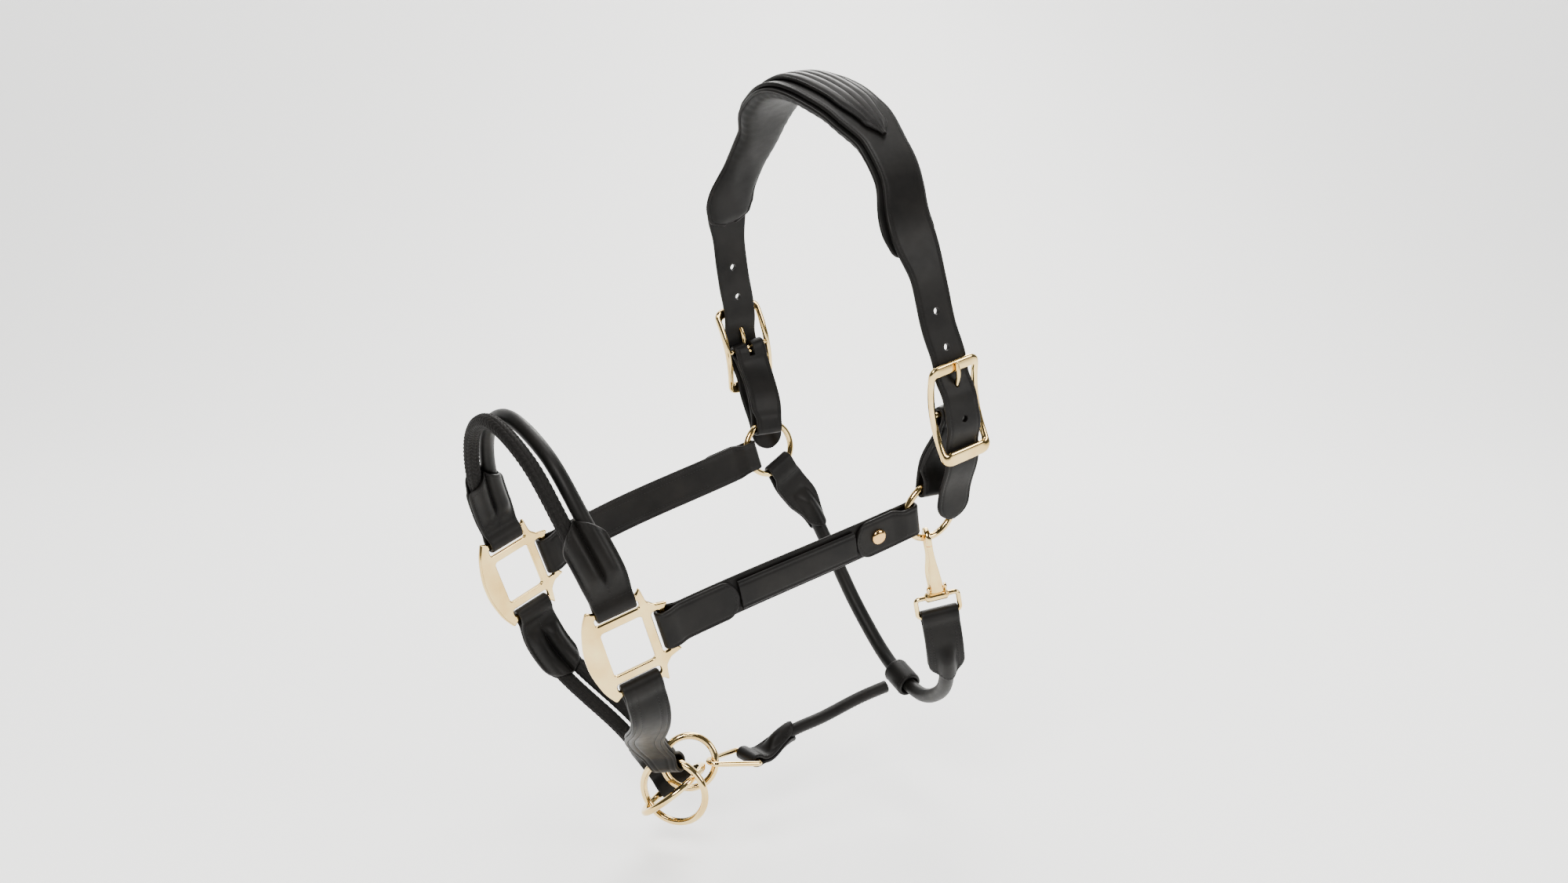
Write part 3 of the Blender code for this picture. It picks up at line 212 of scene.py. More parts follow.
@dataclass(frozen=True)
class BrassFinish:
    """Polished pale brass with faint polishing lines and slightly duller patches."""

    name: str = "polished_pale_brass"
    dark: tuple = (0.66, 0.44, 0.15)
    light: tuple = (0.87, 0.66, 0.30)
    gloss: tuple = (0.06, 0.15)
    slot: Slot = Slot.BRASS

    def material(self) -> bpy.types.Material:
        """Build the finish's node material."""
        sheet = NodeSheet(self.name)
        tone = sheet.noise(38.0, 4.0)
        sheet.plug(sheet.ramp(tone, [(0.3, self.dark), (0.68, self.light)]), "Base Color")
        sheet.shader.inputs["Metallic"].default_value = 1.0
        sheet.plug(sheet.span(sheet.noise(260.0, 4.0), *self.gloss), "Roughness")
        lines = sheet.noise(700.0, 2.0, stretch=(0.15, 1.0, 1.0))
        sheet.plug(sheet.bump(lines, 0.06, 0.00008), "Normal")
        return sheet.material


class Finishes:
    """Each finish's material, built once."""

    def __init__(self) -> None:
        """Build the materials."""
        self.leather = LeatherFinish()
        self.lining = LeatherFinish(name="padded_lining_leather", dark=(0.0020, 0.0019, 0.0018),
                                    light=(0.0055, 0.0050, 0.0046), grain=1900.0, gloss=(0.42, 0.60))
        self.cord = CordFinish()
        self.thread = ThreadFinish()
        self.brass = BrassFinish()
        self.stud = BrassFinish(name="golden_stud_brass", dark=(0.55, 0.30, 0.09), light=(0.82, 0.52, 0.20))
        self.made = {f.name: f.material() for f in
                     (self.leather, self.lining, self.cord, self.thread, self.brass, self.stud)}

    def dress(self, piece: bpy.types.Object, finish) -> None:
        """Give a piece one finish."""
        piece.data.materials.clear()
        piece.data.materials.append(self.made[finish.name])


FINISHES = Finishes()


# ------------------------------------------------------------------ meshes
def made(name: str, shape) -> bpy.types.Mesh:
    """The mesh of a shape, which is a mesh already or can make one under a name."""
    return shape.mesh(name) if hasattr(shape, "mesh") else shape


def place(name: str, shape, finish, body: str, *nodes: str) -> bpy.types.Object:
    """Stand a finished mesh in the scene.

    Args:
        name: the piece's name.
        shape: its mesh, in the frame's coordinates, or what makes it.
        finish: its finish.
        body: the rigid body it rides on.
        nodes: the CAD nodes it stands for.

    Returns:
        The new object.
    """
    mesh = made(name, shape)
    mesh.shade_smooth()
    mesh.set_sharp_from_angle(angle=SHARP_ANGLE)
    piece = bpy.data.objects.new(name, mesh)
    bpy.context.scene.collection.objects.link(piece)
    FINISHES.dress(piece, finish)
    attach(piece, body)
    if nodes:
        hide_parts(*nodes)
    LOG.info("%s: %d faces on %s", name, len(mesh.polygons), body)
    return piece


def mirror_mesh(mesh: bpy.types.Mesh, name: str) -> bpy.types.Mesh:
    """A copy of a mesh mirrored to the far side."""
    twin = mesh.copy()
    twin.name = name
    twin.transform(Matrix.Scale(-1, 4, (0, 1, 0)))
    twin.flip_normals()
    return twin


def place_pair(name: str, shape, finish, body: str, *nodes: str) -> None:
    """Stand a near piece and its far twin; near_ in the names and body becomes far_."""
    mesh = made(name, shape)
    far = mirror_mesh(mesh, name.replace("near_", "far_"))
    place(name, mesh, finish, body, *nodes)
    place(name.replace("near_", "far_"), far, finish, body.replace("near_", "far_"),
          *[n.replace("near_", "far_") for n in nodes])


def skin(name: str, rings: list, closed: bool = False) -> bpy.types.Mesh:
    """Skin a run of cross-sections of equal count into one closed body.

    Args:
        name: the mesh's name.
        rings: lists of points, all as long as each other.
        closed: whether the last ring joins the first.

    Returns:
        The mesh.
    """
    count = len(rings[0])
    points = [tuple(p) for ring in rings for p in ring]
    spans = len(rings) if closed else len(rings) - 1
    faces = []
    for i in range(spans):
        a, b = i * count, ((i + 1) % len(rings)) * count
        faces += [(a + k, a + (k + 1) % count, b + (k + 1) % count, b + k) for k in range(count)]
    if not closed:
        faces.append(tuple(range(count)))
        faces.append(tuple(range((len(rings) - 1) * count, len(rings) * count)))
    mesh = bpy.data.meshes.new(name)
    mesh.from_pydata(points, [], faces)
    work = bmesh.new()
    work.from_mesh(mesh)
    bmesh.ops.recalc_face_normals(work, faces=work.faces)
    work.to_mesh(mesh)
    work.free()
    return mesh


def join_meshes(name: str, parts: Sequence[bpy.types.Mesh]) -> bpy.types.Mesh:
    """Collect several meshes into one."""
    work = bmesh.new()
    for part in parts:
        work.from_mesh(part)
    mesh = bpy.data.meshes.new(name)
    work.to_mesh(mesh)
    work.free()
    return mesh


def ease(t: float) -> float:
    """Smooth step from 0 to 1."""
    t = min(max(t, 0.0), 1.0)
    return t * t * (3 - 2 * t)


def spread(start: float, stop: float, step: float) -> list[float]:
    """Evenly spaced distances from start to stop, both included."""
    count = max(1, round(abs(stop - start) / step))
    return [start + (stop - start) * k / count for k in range(count + 1)]


def smooth_run(points: Sequence[Vector], steps: int) -> list[Vector]:
    """A smooth run of points through the given ones, without overshoot."""
    ends = [points[0] * 2 - points[1]] + list(points) + [points[-1] * 2 - points[-2]]
    lengths = [(q - p).length for p, q in zip(ends, ends[1:])]
    slopes = [(q - p) / h for p, q, h in zip(ends, ends[1:], lengths)]
    turns = [(slopes[i] * lengths[i + 1] + slopes[i + 1] * lengths[i]) / (lengths[i] + lengths[i + 1])
             for i in range(len(points))]
    run = []
    for i in range(len(points) - 1):
        b, c, h = points[i], points[i + 1], lengths[i + 1]
        for k in range(steps):
            t = k / steps
            run.append(b * (1 + 2 * t) * (1 - t) ** 2 + c * t * t * (3 - 2 * t)
                       + turns[i] * h * t * (1 - t) ** 2 - turns[i + 1] * h * t * t * (1 - t))
    return run + [points[-1].copy()]


class Route:
    """A smooth centre line that can be read at any distance from its start."""

    def __init__(self, points: Sequence[Vector], out=None, across: Optional[Vector] = None,
                 steps: int = 24) -> None:
        """Run a smooth line through the points.

        Args:
            points: the places it passes.
            out: the outward direction, or a function of the share of the length.
            across: the cross direction, used in place of out.
            steps: fine steps to a span.
        """
        self.points = smooth_run(points, steps)
        self.out = out
        self.across = across
        self.marks = [0.0]
        for a, b in zip(self.points, self.points[1:]):
            self.marks.append(self.marks[-1] + (b - a).length)
        self.length = self.marks[-1]

    def at(self, distance: float) -> tuple[Vector, Vector, Vector]:
        """Point, direction and outward normal at a distance; straight on past the ends."""
        low, high = 0, len(self.marks) - 2
        while low < high:
            middle = (low + high + 1) // 2
            if self.marks[middle] < distance:
                low = middle
            else:
                high = middle - 1
        i = low
        step = self.points[i + 1] - self.points[i]
        t = (distance - self.marks[i]) / (self.marks[i + 1] - self.marks[i])
        along = step.normalized()
        if 0 <= t <= 1:
            before = self.points[i] - self.points[i - 1] if i else step
            after = self.points[i + 2] - self.points[i + 1] if i + 2 < len(self.points) else step
            start = (along + before.normalized()).normalized()
            end = (along + after.normalized()).normalized()
            along = start.lerp(end, t).normalized()
        if self.across is not None:
            out = self.across.cross(along)
        else:
            share = min(max(distance / self.length, 0), 1)
            out = self.out(share) if callable(self.out) else self.out
        out = (out - along * out.dot(along)).normalized()
        return self.points[i] + step * t, along, out


def blend_out(a: Vector, b: Vector) -> Callable[[float], Vector]:
    """Outward normal turning from a to b along a route."""
    return lambda share: a.lerp(b, ease(share)).normalized()


@dataclass
class Seam:
    """Rows of stitches laid on leather."""

    length: float = 1.7 * MM
    pitch: float = 2.35 * MM
    radius: float = 0.30 * MM
    sink: float = 0.06 * MM
    points: list = field(default_factory=list)
    faces: list = field(default_factory=list)

    def stitch(self, centre: Vector, along: Vector, out: Vector) -> None:
        """Add one stitch: a small spindle half sunk in the leather."""
        side = out.cross(along).normalized()
        along = (along + side * 0.16).normalized()
        base = len(self.points)
        for t, share in ((-1.0, 0.25), (-0.62, 0.85), (0.0, 1.0), (0.62, 0.85), (1.0, 0.25)):
            middle = centre + along * (t * self.length / 2) - out * self.sink
            for k in range(6):
                turn = tau * k / 6
                self.points.append(middle + (side * cos(turn) + out * sin(turn)) * self.radius * share)
        for row in range(4):
            for k in range(6):
                a, b = base + row * 6, base + (row + 1) * 6
                self.faces.append((a + k, a + (k + 1) % 6, b + (k + 1) % 6, b + k))
        self.faces.append(tuple(base + 5 - k for k in range(6)))
        self.faces.append(tuple(base + 24 + k for k in range(6)))

    def row(self, surface: Callable[[float], tuple[Vector, Vector]], start: float, stop: float) -> None:
        """Stitch along a line on a surface.

        Args:
            surface: gives the point and outward normal at a distance.
            start: where the row starts.
            stop: where it ends.
        """
        for s in spread(start, stop, self.pitch):
            centre, out = surface(s)
            ahead = surface(s + 0.4 * MM)[0] - surface(s - 0.4 * MM)[0]
            if ahead.length > 0:
                self.stitch(centre, ahead.normalized(), out)

    def run(self, places: Sequence[tuple[Vector, Vector]]) -> None:
        """Stitch along a run of (point, normal) places at even pitch."""
        left = 0.0
        for (a, out), (b, _) in zip(places, places[1:]):
            step = (b - a).length
            while left < step:
                self.stitch(a.lerp(b, left / step), (b - a).normalized(), out)
                left += self.pitch
            left -= step

    def mesh(self, name: str) -> bpy.types.Mesh:
        """All the stitches as one mesh."""
        mesh = bpy.data.meshes.new(name)
        mesh.from_pydata([tuple(p) for p in self.points], [], self.faces)
        return mesh


# ------------------------------------------------------------------ straps
@dataclass
class Fold:
    """How a strap goes round a bar or a wire at one end of its route."""

    inner: float
    open_run: float = 2 * MM
    neck: float = 9 * MM
    turn_back: Optional[float] = None
    half_width: Optional[float] = None


@dataclass
class Filling:
    """Rolls or ropes held between a tab's two layers."""

    places: tuple
    radius: float
    start: float
    stop: float

    def lift(self, s: float, x: float) -> float:
        """Half the distance between the layers at s, x."""
        reach = self.radius + 0.35 * MM
        best = 0.0
        for place_x in self.places:
            away = abs(x - place_x)
            if away < 0.82 * reach:
                best = max(best, sqrt(reach ** 2 - away ** 2))
            else:
                best = max(best, 0.572 * reach - (away - 0.82 * reach) * 1.43)
        return best * ease((s - self.start) / (self.stop - self.start))


class Tip(Enum):
    """The shape of a strap's free end."""

    ROUND = "round"
    POINTED = "pointed"

    def share(self, t: float) -> float:
        """Share of the width left at share t of the tip's length."""
        t = min(max(t, 0.0), 1.0)
        return sqrt(1 - (1 - t) ** 2) if self is Tip.ROUND else 1 - (1 - t) ** 1.75


@dataclass
class FoldedStrap:
    """One strip of leather folded round a bar at either end of its route.

    The inner layer runs the whole way and each fold brings an outer layer back over it. With
    folds at both ends and no turn_back it is a closed belt.
    """

    route: Route
    start: Optional[Fold]
    end: Optional[Fold]
    thick: float = 2.4 * MM
    width: float = 25 * MM
    tip: float = 10 * MM
    tip_shape: Tip = Tip.ROUND
    widths: Optional[Callable[[float], float]] = None
    filling: Optional[Filling] = None
    grooves: tuple = ()
    step: float = 2.0 * MM
    samples: int = 24

    def __post_init__(self) -> None:
        """Work out the folds and whether the strip is a belt."""
        self.ends = [(fold, at) for fold, at in ((self.start, 0.0), (self.end, self.route.length)) if fold]
        self.belt = (len(self.ends) == 2 and self.start.turn_back is None and self.end.turn_back is None)

    def offset(self, s: float, x: float) -> float:
        """Distance from the route to the middle of a layer."""
        half = self.thick / 2
        closed = GAP / 2 + half
        value = closed
        for fold, at in self.ends:
            wide = fold.inner + half
            shut = ease((abs(s - at) - fold.open_run) / fold.neck)
            value = max(value, wide + (closed - wide) * shut)
        if self.filling:
            value = max(value, self.filling.lift(s, x) + half)
        return value

    def half_width(self, s: float) -> float:
        """Half the strip's width at s, without the rounding of its tip."""
        value = self.widths(s) if self.widths else self.width / 2
        for fold, at in self.ends:
            if fold.half_width:
                shut = ease((abs(s - at) - fold.open_run) / fold.neck)
                value = fold.half_width + (value - fold.half_width) * shut
        return value

    def tip_share(self, left: float) -> float:
        """Share of the width that is left this far from a rounded tip."""
        return max(self.tip_shape.share(left / self.tip), 0.05)

    def dip(self, x: float, wide: float) -> float:
        """How far stitching pulls the surface in at x."""
        value = 0.0
        for groove in self.grooves:
            row = wide - groove if groove > 0 else -groove
            for side in (1, -1):
                value = max(value, STITCH_DIP * exp(-((x - side * row) / STITCH_DIP_WIDTH) ** 2))
        return value

    def section(self, s: float, turn: float, left: Optional[float] = None, dips: bool = True) -> list[Vector]:
        """Cross-section at s; turn is 0 on the outer layer and pi on the inner one."""
        point, along, out = self.route.at(s)
        ahead = along if s > self.route.length / 2 else -along
        away = out * cos(turn) + ahead * sin(turn)
        across = out.cross(along)
        full = self.half_width(s)
        wide = full * (self.tip_share(left) if left is not None else 1.0)
        half = self.thick / 2
        outer, inner = [], []
        for k in range(-self.samples, self.samples + 1):
            x = wide * sin(pi / 2 * k / self.samples)
            rim = max(abs(x) - (wide - half), 0) / half
            body = half * max(sqrt(max(1 - rim ** 2, 0)), 0.12)
            middle = self.offset(s, x)
            dip = self.dip(x, full) if dips and abs(x) < wide - 0.8 * MM else 0.0
            base = point + across * x
            outer.append(base + away * (middle + body - dip))
            inner.append(base + away * (middle - body))
        return outer + inner[::-1]

    def mesh(self, name: str) -> bpy.types.Mesh:
        """The whole strip as one closed mesh."""
        length = self.route.length
        bend = [pi * k / 10 for k in range(1, 10)]
        rings = []
        if self.start:
            back = self.start.turn_back or length
            rings += [self.section(s, 0, None if self.belt else back - s)
                      for s in self.fine(back, 0.0)]
            rings += [self.section(0, turn, dips=False) for turn in bend]
        rings += [self.section(s, pi, None if self.end else length - s) for s in self.fine(0.0, length)]
        if self.end:
            rings += [self.section(length, turn, dips=False) for turn in reversed(bend)]
        if self.end and not self.belt:
            back = self.end.turn_back or length
            rings += [self.section(length - s, 0, back - s) for s in self.fine(0.0, back)]
        return skin(name, rings, closed=self.belt)

    def fine(self, start: float, stop: float) -> list[float]:
        """Distances from start to stop, closer together near a rounded tip."""
        plain = spread(start, stop, self.step)
        if self.belt:
            return plain
        low, high = (stop, start) if start > stop else (start, stop)
        extra = [high - self.tip * (1 - cos(pi / 2 * k / 8)) for k in range(1, 8)]
        merged = sorted({round(v, 7) for v in plain + [e for e in extra if e > low]})
        return merged[::-1] if start > stop else merged

    def surface(self, s: float, x: float, turn: float = 0.0) -> tuple[Vector, Vector]:
        """Point and normal on the outer layer's surface (turn 0) or the inner one's (pi)."""
        point, along, out = self.route.at(s)
        away = out * cos(turn)
        across = out.cross(along)
        top = self.offset(s, x) + self.thick / 2 - self.dip(x, self.half_width(s))
        slope = (self.offset(s, x + 0.5 * MM) - self.offset(s, x - 0.5 * MM)) / (1 * MM)
        return point + across * x + away * top, (away - across * slope).normalized()

    def border(self, seam: Seam, inset: float, start: float, tip_at: float, turn: float = 0.0) -> None:
        """Stitch a border: up one side, round the tip and down the other side.

        Args:
            seam: takes the stitches.
            inset: distance from the strap's edge.
            start: where the border starts.
            tip_at: the distance of the strap's tip.
            turn: 0 for the outer layer's face, pi for the inner one's.
        """
        places = []
        sign = 1 if tip_at > start else -1
        stop = tip_at - sign * inset
        stations = [start + (stop - start) * (1 - (1 - k / 40) ** 2) for k in range(41)]
        for s in stations:
            left = abs(tip_at - s) - inset
            share = self.tip_shape.share(left / max(self.tip - inset, MM))
            places.append((s, (self.half_width(s) - inset) * share))
        run = [self.surface(s, x, turn) for s, x in places]
        run += [self.surface(s, -x, turn) for s, x in reversed(places)]
        seam.run(run)


@dataclass
class FlatStrap:
    """One flat layer between two distances on a route, its width a function of distance."""

    route: Route
    start: float
    stop: float
    half_width: Callable[[float], float]
    thick: float
    lift: float = 0.0
    step: float = 2.0 * MM
    samples: int = 24
    grooves: tuple = ()
    shares: tuple = ()
    depth: float = STITCH_DIP
    spread: float = STITCH_DIP_WIDTH
    crown: float = 0.0

    def rows(self, wide: float) -> list[float]:
        """Cross positions of the stitched rows at one half width."""
        rows = [side * (wide - groove) for groove in self.grooves for side in (1, -1)]
        return rows + [share * wide for share in self.shares]

    def height(self, x: float, wide: float) -> float:
        """Extra height of the outer face at x: crowned, and pulled in along its stitching."""
        value = self.crown * max(1 - (x / wide) ** 2, 0) ** 0.6
        pulls = [exp(-((x - row) / self.spread) ** 2) for row in self.rows(wide)]
        return value - self.depth * max(pulls or [0])

    def mesh(self, name: str) -> bpy.types.Mesh:
        """The strap as one closed mesh."""
        rings = []
        half = self.thick / 2
        for s in spread(self.start, self.stop, self.step):
            point, along, out = self.route.at(s)
            across = out.cross(along)
            wide = self.half_width(s)
            outer, inner = [], []
            for k in range(-self.samples, self.samples + 1):
                x = wide * sin(pi / 2 * k / self.samples)
                rim = max(abs(x) - (wide - half), 0) / half
                body = half * max(sqrt(max(1 - rim ** 2, 0)), 0.12)
                base = point + across * x + out * self.lift
                rise = self.height(x, wide) if abs(x) < wide - 0.6 * MM else 0.0
                outer.append(base + out * (body + rise))
                inner.append(base - out * body)
            rings.append(outer + inner[::-1])
        return skin(name, rings)

    def surface(self, s: float, x: float) -> tuple[Vector, Vector]:
        """Point and normal on the outer face."""
        point, along, out = self.route.at(s)
        top = self.lift + self.thick / 2 + self.height(x, self.half_width(s))
        return point + out.cross(along) * x + out * top, out

    def edge_rows(self, seam: Seam, inset: float, start: float, stop: float) -> None:
        """Stitch along both edges."""
        for side in (1, -1):
            seam.row(lambda s: self.surface(s, side * (self.half_width(s) - inset)), start, stop)


# ------------------------------------------------------------------ round work
def round_rings(path: Sequence[Vector], radius, sides: int, twist: float = 0.0, cyclic: bool = False) -> list:
    """Round cross-sections along a path, carried without twisting.

    Args:
        path: the middle points.
        radius: one value, or a function of (index, angle).
        sides: points around.
        twist: turn of the first section.
        cyclic: whether the path closes.

    Returns:
        A list of rings of points.
    """
    count = len(path)
    rings = []
    normal = None
    for i, point in enumerate(path):
        before = path[i - 1] if cyclic or i else point
        after = path[(i + 1) % count] if cyclic or i < count - 1 else point
        along = (after - before).normalized()
        if normal is None:
            normal = along.orthogonal()
        normal = (normal - along * normal.dot(along)).normalized()
        side = along.cross(normal)
        ring = []
        for k in range(sides):
            turn = twist + tau * k / sides
            r = radius(i, turn) if callable(radius) else radius
            ring.append(point + (normal * cos(turn) + side * sin(turn)) * r)
        rings.append(ring)
    return rings


@dataclass
class PlaitedCord:
    """A round plaited cord with a herringbone face."""

    radius: float = 5 * MM
    columns: int = 10
    pitch: float = 3.8 * MM
    relief: float = 0.85 * MM
    sides: int = 60
    step: float = 0.62 * MM

    def mesh(self, name: str, route_points: Sequence[Vector]) -> bpy.types.Mesh:
        """The cord along a smooth run of points."""
        run = Route(route_points, out=NEAR_OUT, steps=8)
        marks = spread(0, run.length, self.step)
        path = [run.at(s)[0] for s in marks]

        def radius(i: int, turn: float) -> float:
            """The strands' height at one place."""
            u = (turn % tau) / tau * self.columns
            column = floor(u)
            f = u - column
            slant = f if column % 2 else 1 - f
            w = (marks[i] / self.pitch + slant * 1.15) % 1.0
            strand = sqrt(max(1 - (2 * w - 1) ** 2, 0))
            edge = max(sin(pi * f), 0) ** 0.45
            return self.radius - self.relief + self.relief * strand * (0.35 + 0.65 * edge)

        return skin(name, round_rings(path, radius, self.sides))


@dataclass
class LeatherRoll:
    """Leather sewn round a cord, with a stitched seam on one side."""

    radius: float
    seam_side: Vector
    sides: int = 28
    step: float = 2.0 * MM

    def meshes(self, name: str, points: Sequence[Vector]) -> tuple[bpy.types.Mesh, Seam]:
        """The roll and its stitching."""
        run = Route(points, out=self.seam_side, steps=10)
        rings = []
        seam = Seam(pitch=2.9 * MM)
        for s in spread(0, run.length, self.step):
            point, along, out = run.at(s)
            side = out.cross(along)
            ring = []
            for k in range(self.sides):
                turn = tau * k / self.sides
                ridge = 0.55 * MM * exp(-((sin(turn / 2)) / 0.17) ** 2)
                valley = 0.30 * MM * exp(-(((turn if turn < pi else turn - tau) / 0.07)) ** 2)
                r = self.radius - 0.35 * MM + ridge - valley
                ring.append(point + (out * cos(turn) + side * sin(turn)) * r)
            rings.append(ring)

        def line(turn: float) -> Callable[[float], tuple[Vector, Vector]]:
            """A line along the roll at an angle from the seam."""
            def place_at(s: float) -> tuple[Vector, Vector]:
                """Point and normal on that line."""
                point, along, out = run.at(s)
                away = out * cos(turn) + out.cross(along) * sin(turn)
                return point + away * (self.radius - 0.05 * MM), away
            return place_at

        seam.row(line(0.22), 1 * MM, run.length - 1 * MM)
        return skin(name, rings), seam


def wire_ring(name: str, centre: Vector, axis: Vector, radius: float, wire: float,
              weld: Optional[float] = None) -> bpy.types.Mesh:
    """A closed ring of wire.

    Args:
        name: the mesh's name.
        centre: the ring's middle.
        axis: its normal.
        radius: to the middle of the wire.
        wire: the wire's radius.
        weld: angle of a faint weld bead, where there is one.

    Returns:
        The mesh.
    """
    side = axis.orthogonal().normalized()
    up = axis.cross(side).normalized()
    rings = []
    for k in range(144):
        turn = tau * k / 144
        away = side * cos(turn) + up * sin(turn)
        r = wire
        if weld is not None:
            gap = (turn - weld + pi) % tau - pi
            r += 0.12 * MM * exp(-(gap / 0.035) ** 2) - 0.10 * MM * exp(-(gap / 0.010) ** 2)
        rings.append([centre + away * (radius + r * cos(tau * j / 24)) + axis * r * sin(tau * j / 24)
                      for j in range(24)])
    return skin(name, rings, closed=True)


def rod(name: str, path: Sequence[Vector], radius, cyclic: bool = False, sides: int = 20) -> bpy.types.Mesh:
    """A round rod along a run of points, its open ends rounded over."""
    rings = round_rings(path, radius, sides, cyclic=cyclic)
    if not cyclic:
        for end, ring in ((path[0], rings[0]), (path[-1], rings[-1])):
            outward = (end - (path[1] if end is path[0] else path[-2])).normalized()
            cap = [end + (p - end) * 0.55 + outward * (p - end).length * 0.45 for p in ring]
            rings = [cap] + rings if end is path[0] else rings + [cap]
    return skin(name, rings, closed=cyclic)


def rounded(points: Sequence[Vector], radius, steps: int = 6) -> list[Vector]:
    """A polygon with its corners eased over; radius is one value or one per corner."""
    radii = radius if isinstance(radius, (list, tuple)) else [radius] * len(points)
    outline = []
    for i, corner in enumerate(points):
        before, after = points[i - 1] - corner, points[(i + 1) % len(points)] - corner
        reach = min(radii[i], 0.46 * before.length, 0.46 * after.length)
        a, b = corner + before.normalized() * reach, corner + after.normalized() * reach
        for k in range(steps + 1):
            t = k / steps
            outline.append(a.lerp(corner, t).lerp(corner.lerp(b, t), t))
    return outline


def cast_ring(centre: Vector, across: Vector, out: Vector, half_width: float, half_thick: float,
              power: float = 3.4, sides: int = 28) -> list[Vector]:
    """A rounded-rectangle cross-section of a casting."""
    ring = []
    for k in range(sides):
        c, s = cos(tau * k / sides), sin(tau * k / sides)
        u = half_width * (abs(c) ** (2 / power)) * (1 if c >= 0 else -1)
        v = half_thick * (abs(s) ** (2 / power)) * (1 if s >= 0 else -1)
        ring.append(centre + across * u + out * v)
    return ring


def resampled(points: Sequence[Vector], step: float) -> list[Vector]:
    """A closed outline with extra points along its straight runs."""
    dense = []
    for a, b in zip(points, list(points[1:]) + [points[0]]):
        count = max(1, round((b - a).length / step))
        dense += [a.lerp(b, k / count) for k in range(count)]
    return dense


def evaluated(piece: bpy.types.Object) -> bpy.types.Mesh:
    """A piece's mesh with its modifiers applied, in world space; the piece is removed."""
    bpy.context.scene.collection.objects.link(piece)
    graph = bpy.context.evaluated_depsgraph_get()
    graph.update()
    mesh = bpy.data.meshes.new_from_object(piece.evaluated_get(graph))
    mesh.transform(piece.matrix_world)
    bpy.data.objects.remove(piece, do_unlink=True)
    return mesh


def cut(mesh: bpy.types.Mesh, cutters: Sequence[bpy.types.Mesh]) -> bpy.types.Mesh:
    """Cut one mesh by several others."""
    tool = bpy.data.objects.new("cutter", join_meshes("cutters", cutters))
    bpy.context.scene.collection.objects.link(tool)
    piece = bpy.data.objects.new("uncut", mesh)
    modifier = piece.modifiers.new("cut", "BOOLEAN")
    modifier.object = tool
    modifier.operation = "DIFFERENCE"
    modifier.solver = "EXACT"
    result = evaluated(piece)
    bpy.data.objects.remove(tool, do_unlink=True)
    return result


def plate_mesh(name: str, outlines: Sequence[Sequence[Vector]], thick: float, bevel: float) -> bpy.types.Mesh:
    """A plate from its outline and holes, every edge rounded over."""
    curve = bpy.data.curves.new(name, "CURVE")
    curve.dimensions = "2D"
    curve.fill_mode = "BOTH"
    curve.extrude = thick / 2 - bevel
    curve.bevel_depth = bevel
    curve.bevel_resolution = 5
    curve.offset = -bevel
    for outline in outlines:
        spline = curve.splines.new("POLY")
        spline.points.add(len(outline) - 1)
        for target, point in zip(spline.points, outline):
            target.co = (point.x, point.y, 0, 1)
        spline.use_cyclic_u = True
    return evaluated(bpy.data.objects.new(name, curve))


# ------------------------------------------------------------------ shared places
STRAP_WIDTH = 25 * MM
RING_STRAP_WIDTH = 21 * MM
LEATHER = 2.4 * MM
CROWN_LEATHER = 3.2 * MM
FOLD_PLAY = 0.45 * MM
RING_RADIUS = 19.0 * MM
RING_WIRE = 2.2 * MM
RING_LEAN = radians(8)
RING_CENTRE = Vector((26.5, -95.5, -253.5)) * MM
RING_OUT = Vector((0, -cos(RING_LEAN), -sin(RING_LEAN)))
RING_UP = Vector((0, -sin(RING_LEAN), cos(RING_LEAN)))
RING_FOLD = RING_WIRE + FOLD_PLAY
ROLL_RADIUS = 5.0 * MM
ROLL_SPACING = 11.6 * MM
TWIN_ROLLS = (-ROLL_SPACING / 2, ROLL_SPACING / 2)


def ring_seat(radius: float, wire: float, half_width: float) -> tuple[float, float]:
    """Where a strap's fold sits inside a ring.

    Args:
        radius: the ring's radius to the middle of its wire.
        wire: the wire's radius.
        half_width: the strap's half width.

    Returns:
        The distance from the ring's centre to the fold's axis, and the straight run beside it.
    """
    low = sqrt(radius ** 2 - half_width ** 2)
    axis = low - wire / (low / radius) + wire
    return axis, radius + wire + GAP - axis


RING_SEAT, RING_RUN = ring_seat(RING_RADIUS, RING_WIRE, RING_STRAP_WIDTH / 2)


def far_side(point: Vector) -> Vector:
    """The mirrored place on the far side."""
    return Vector((point.x, -point.y, point.z))


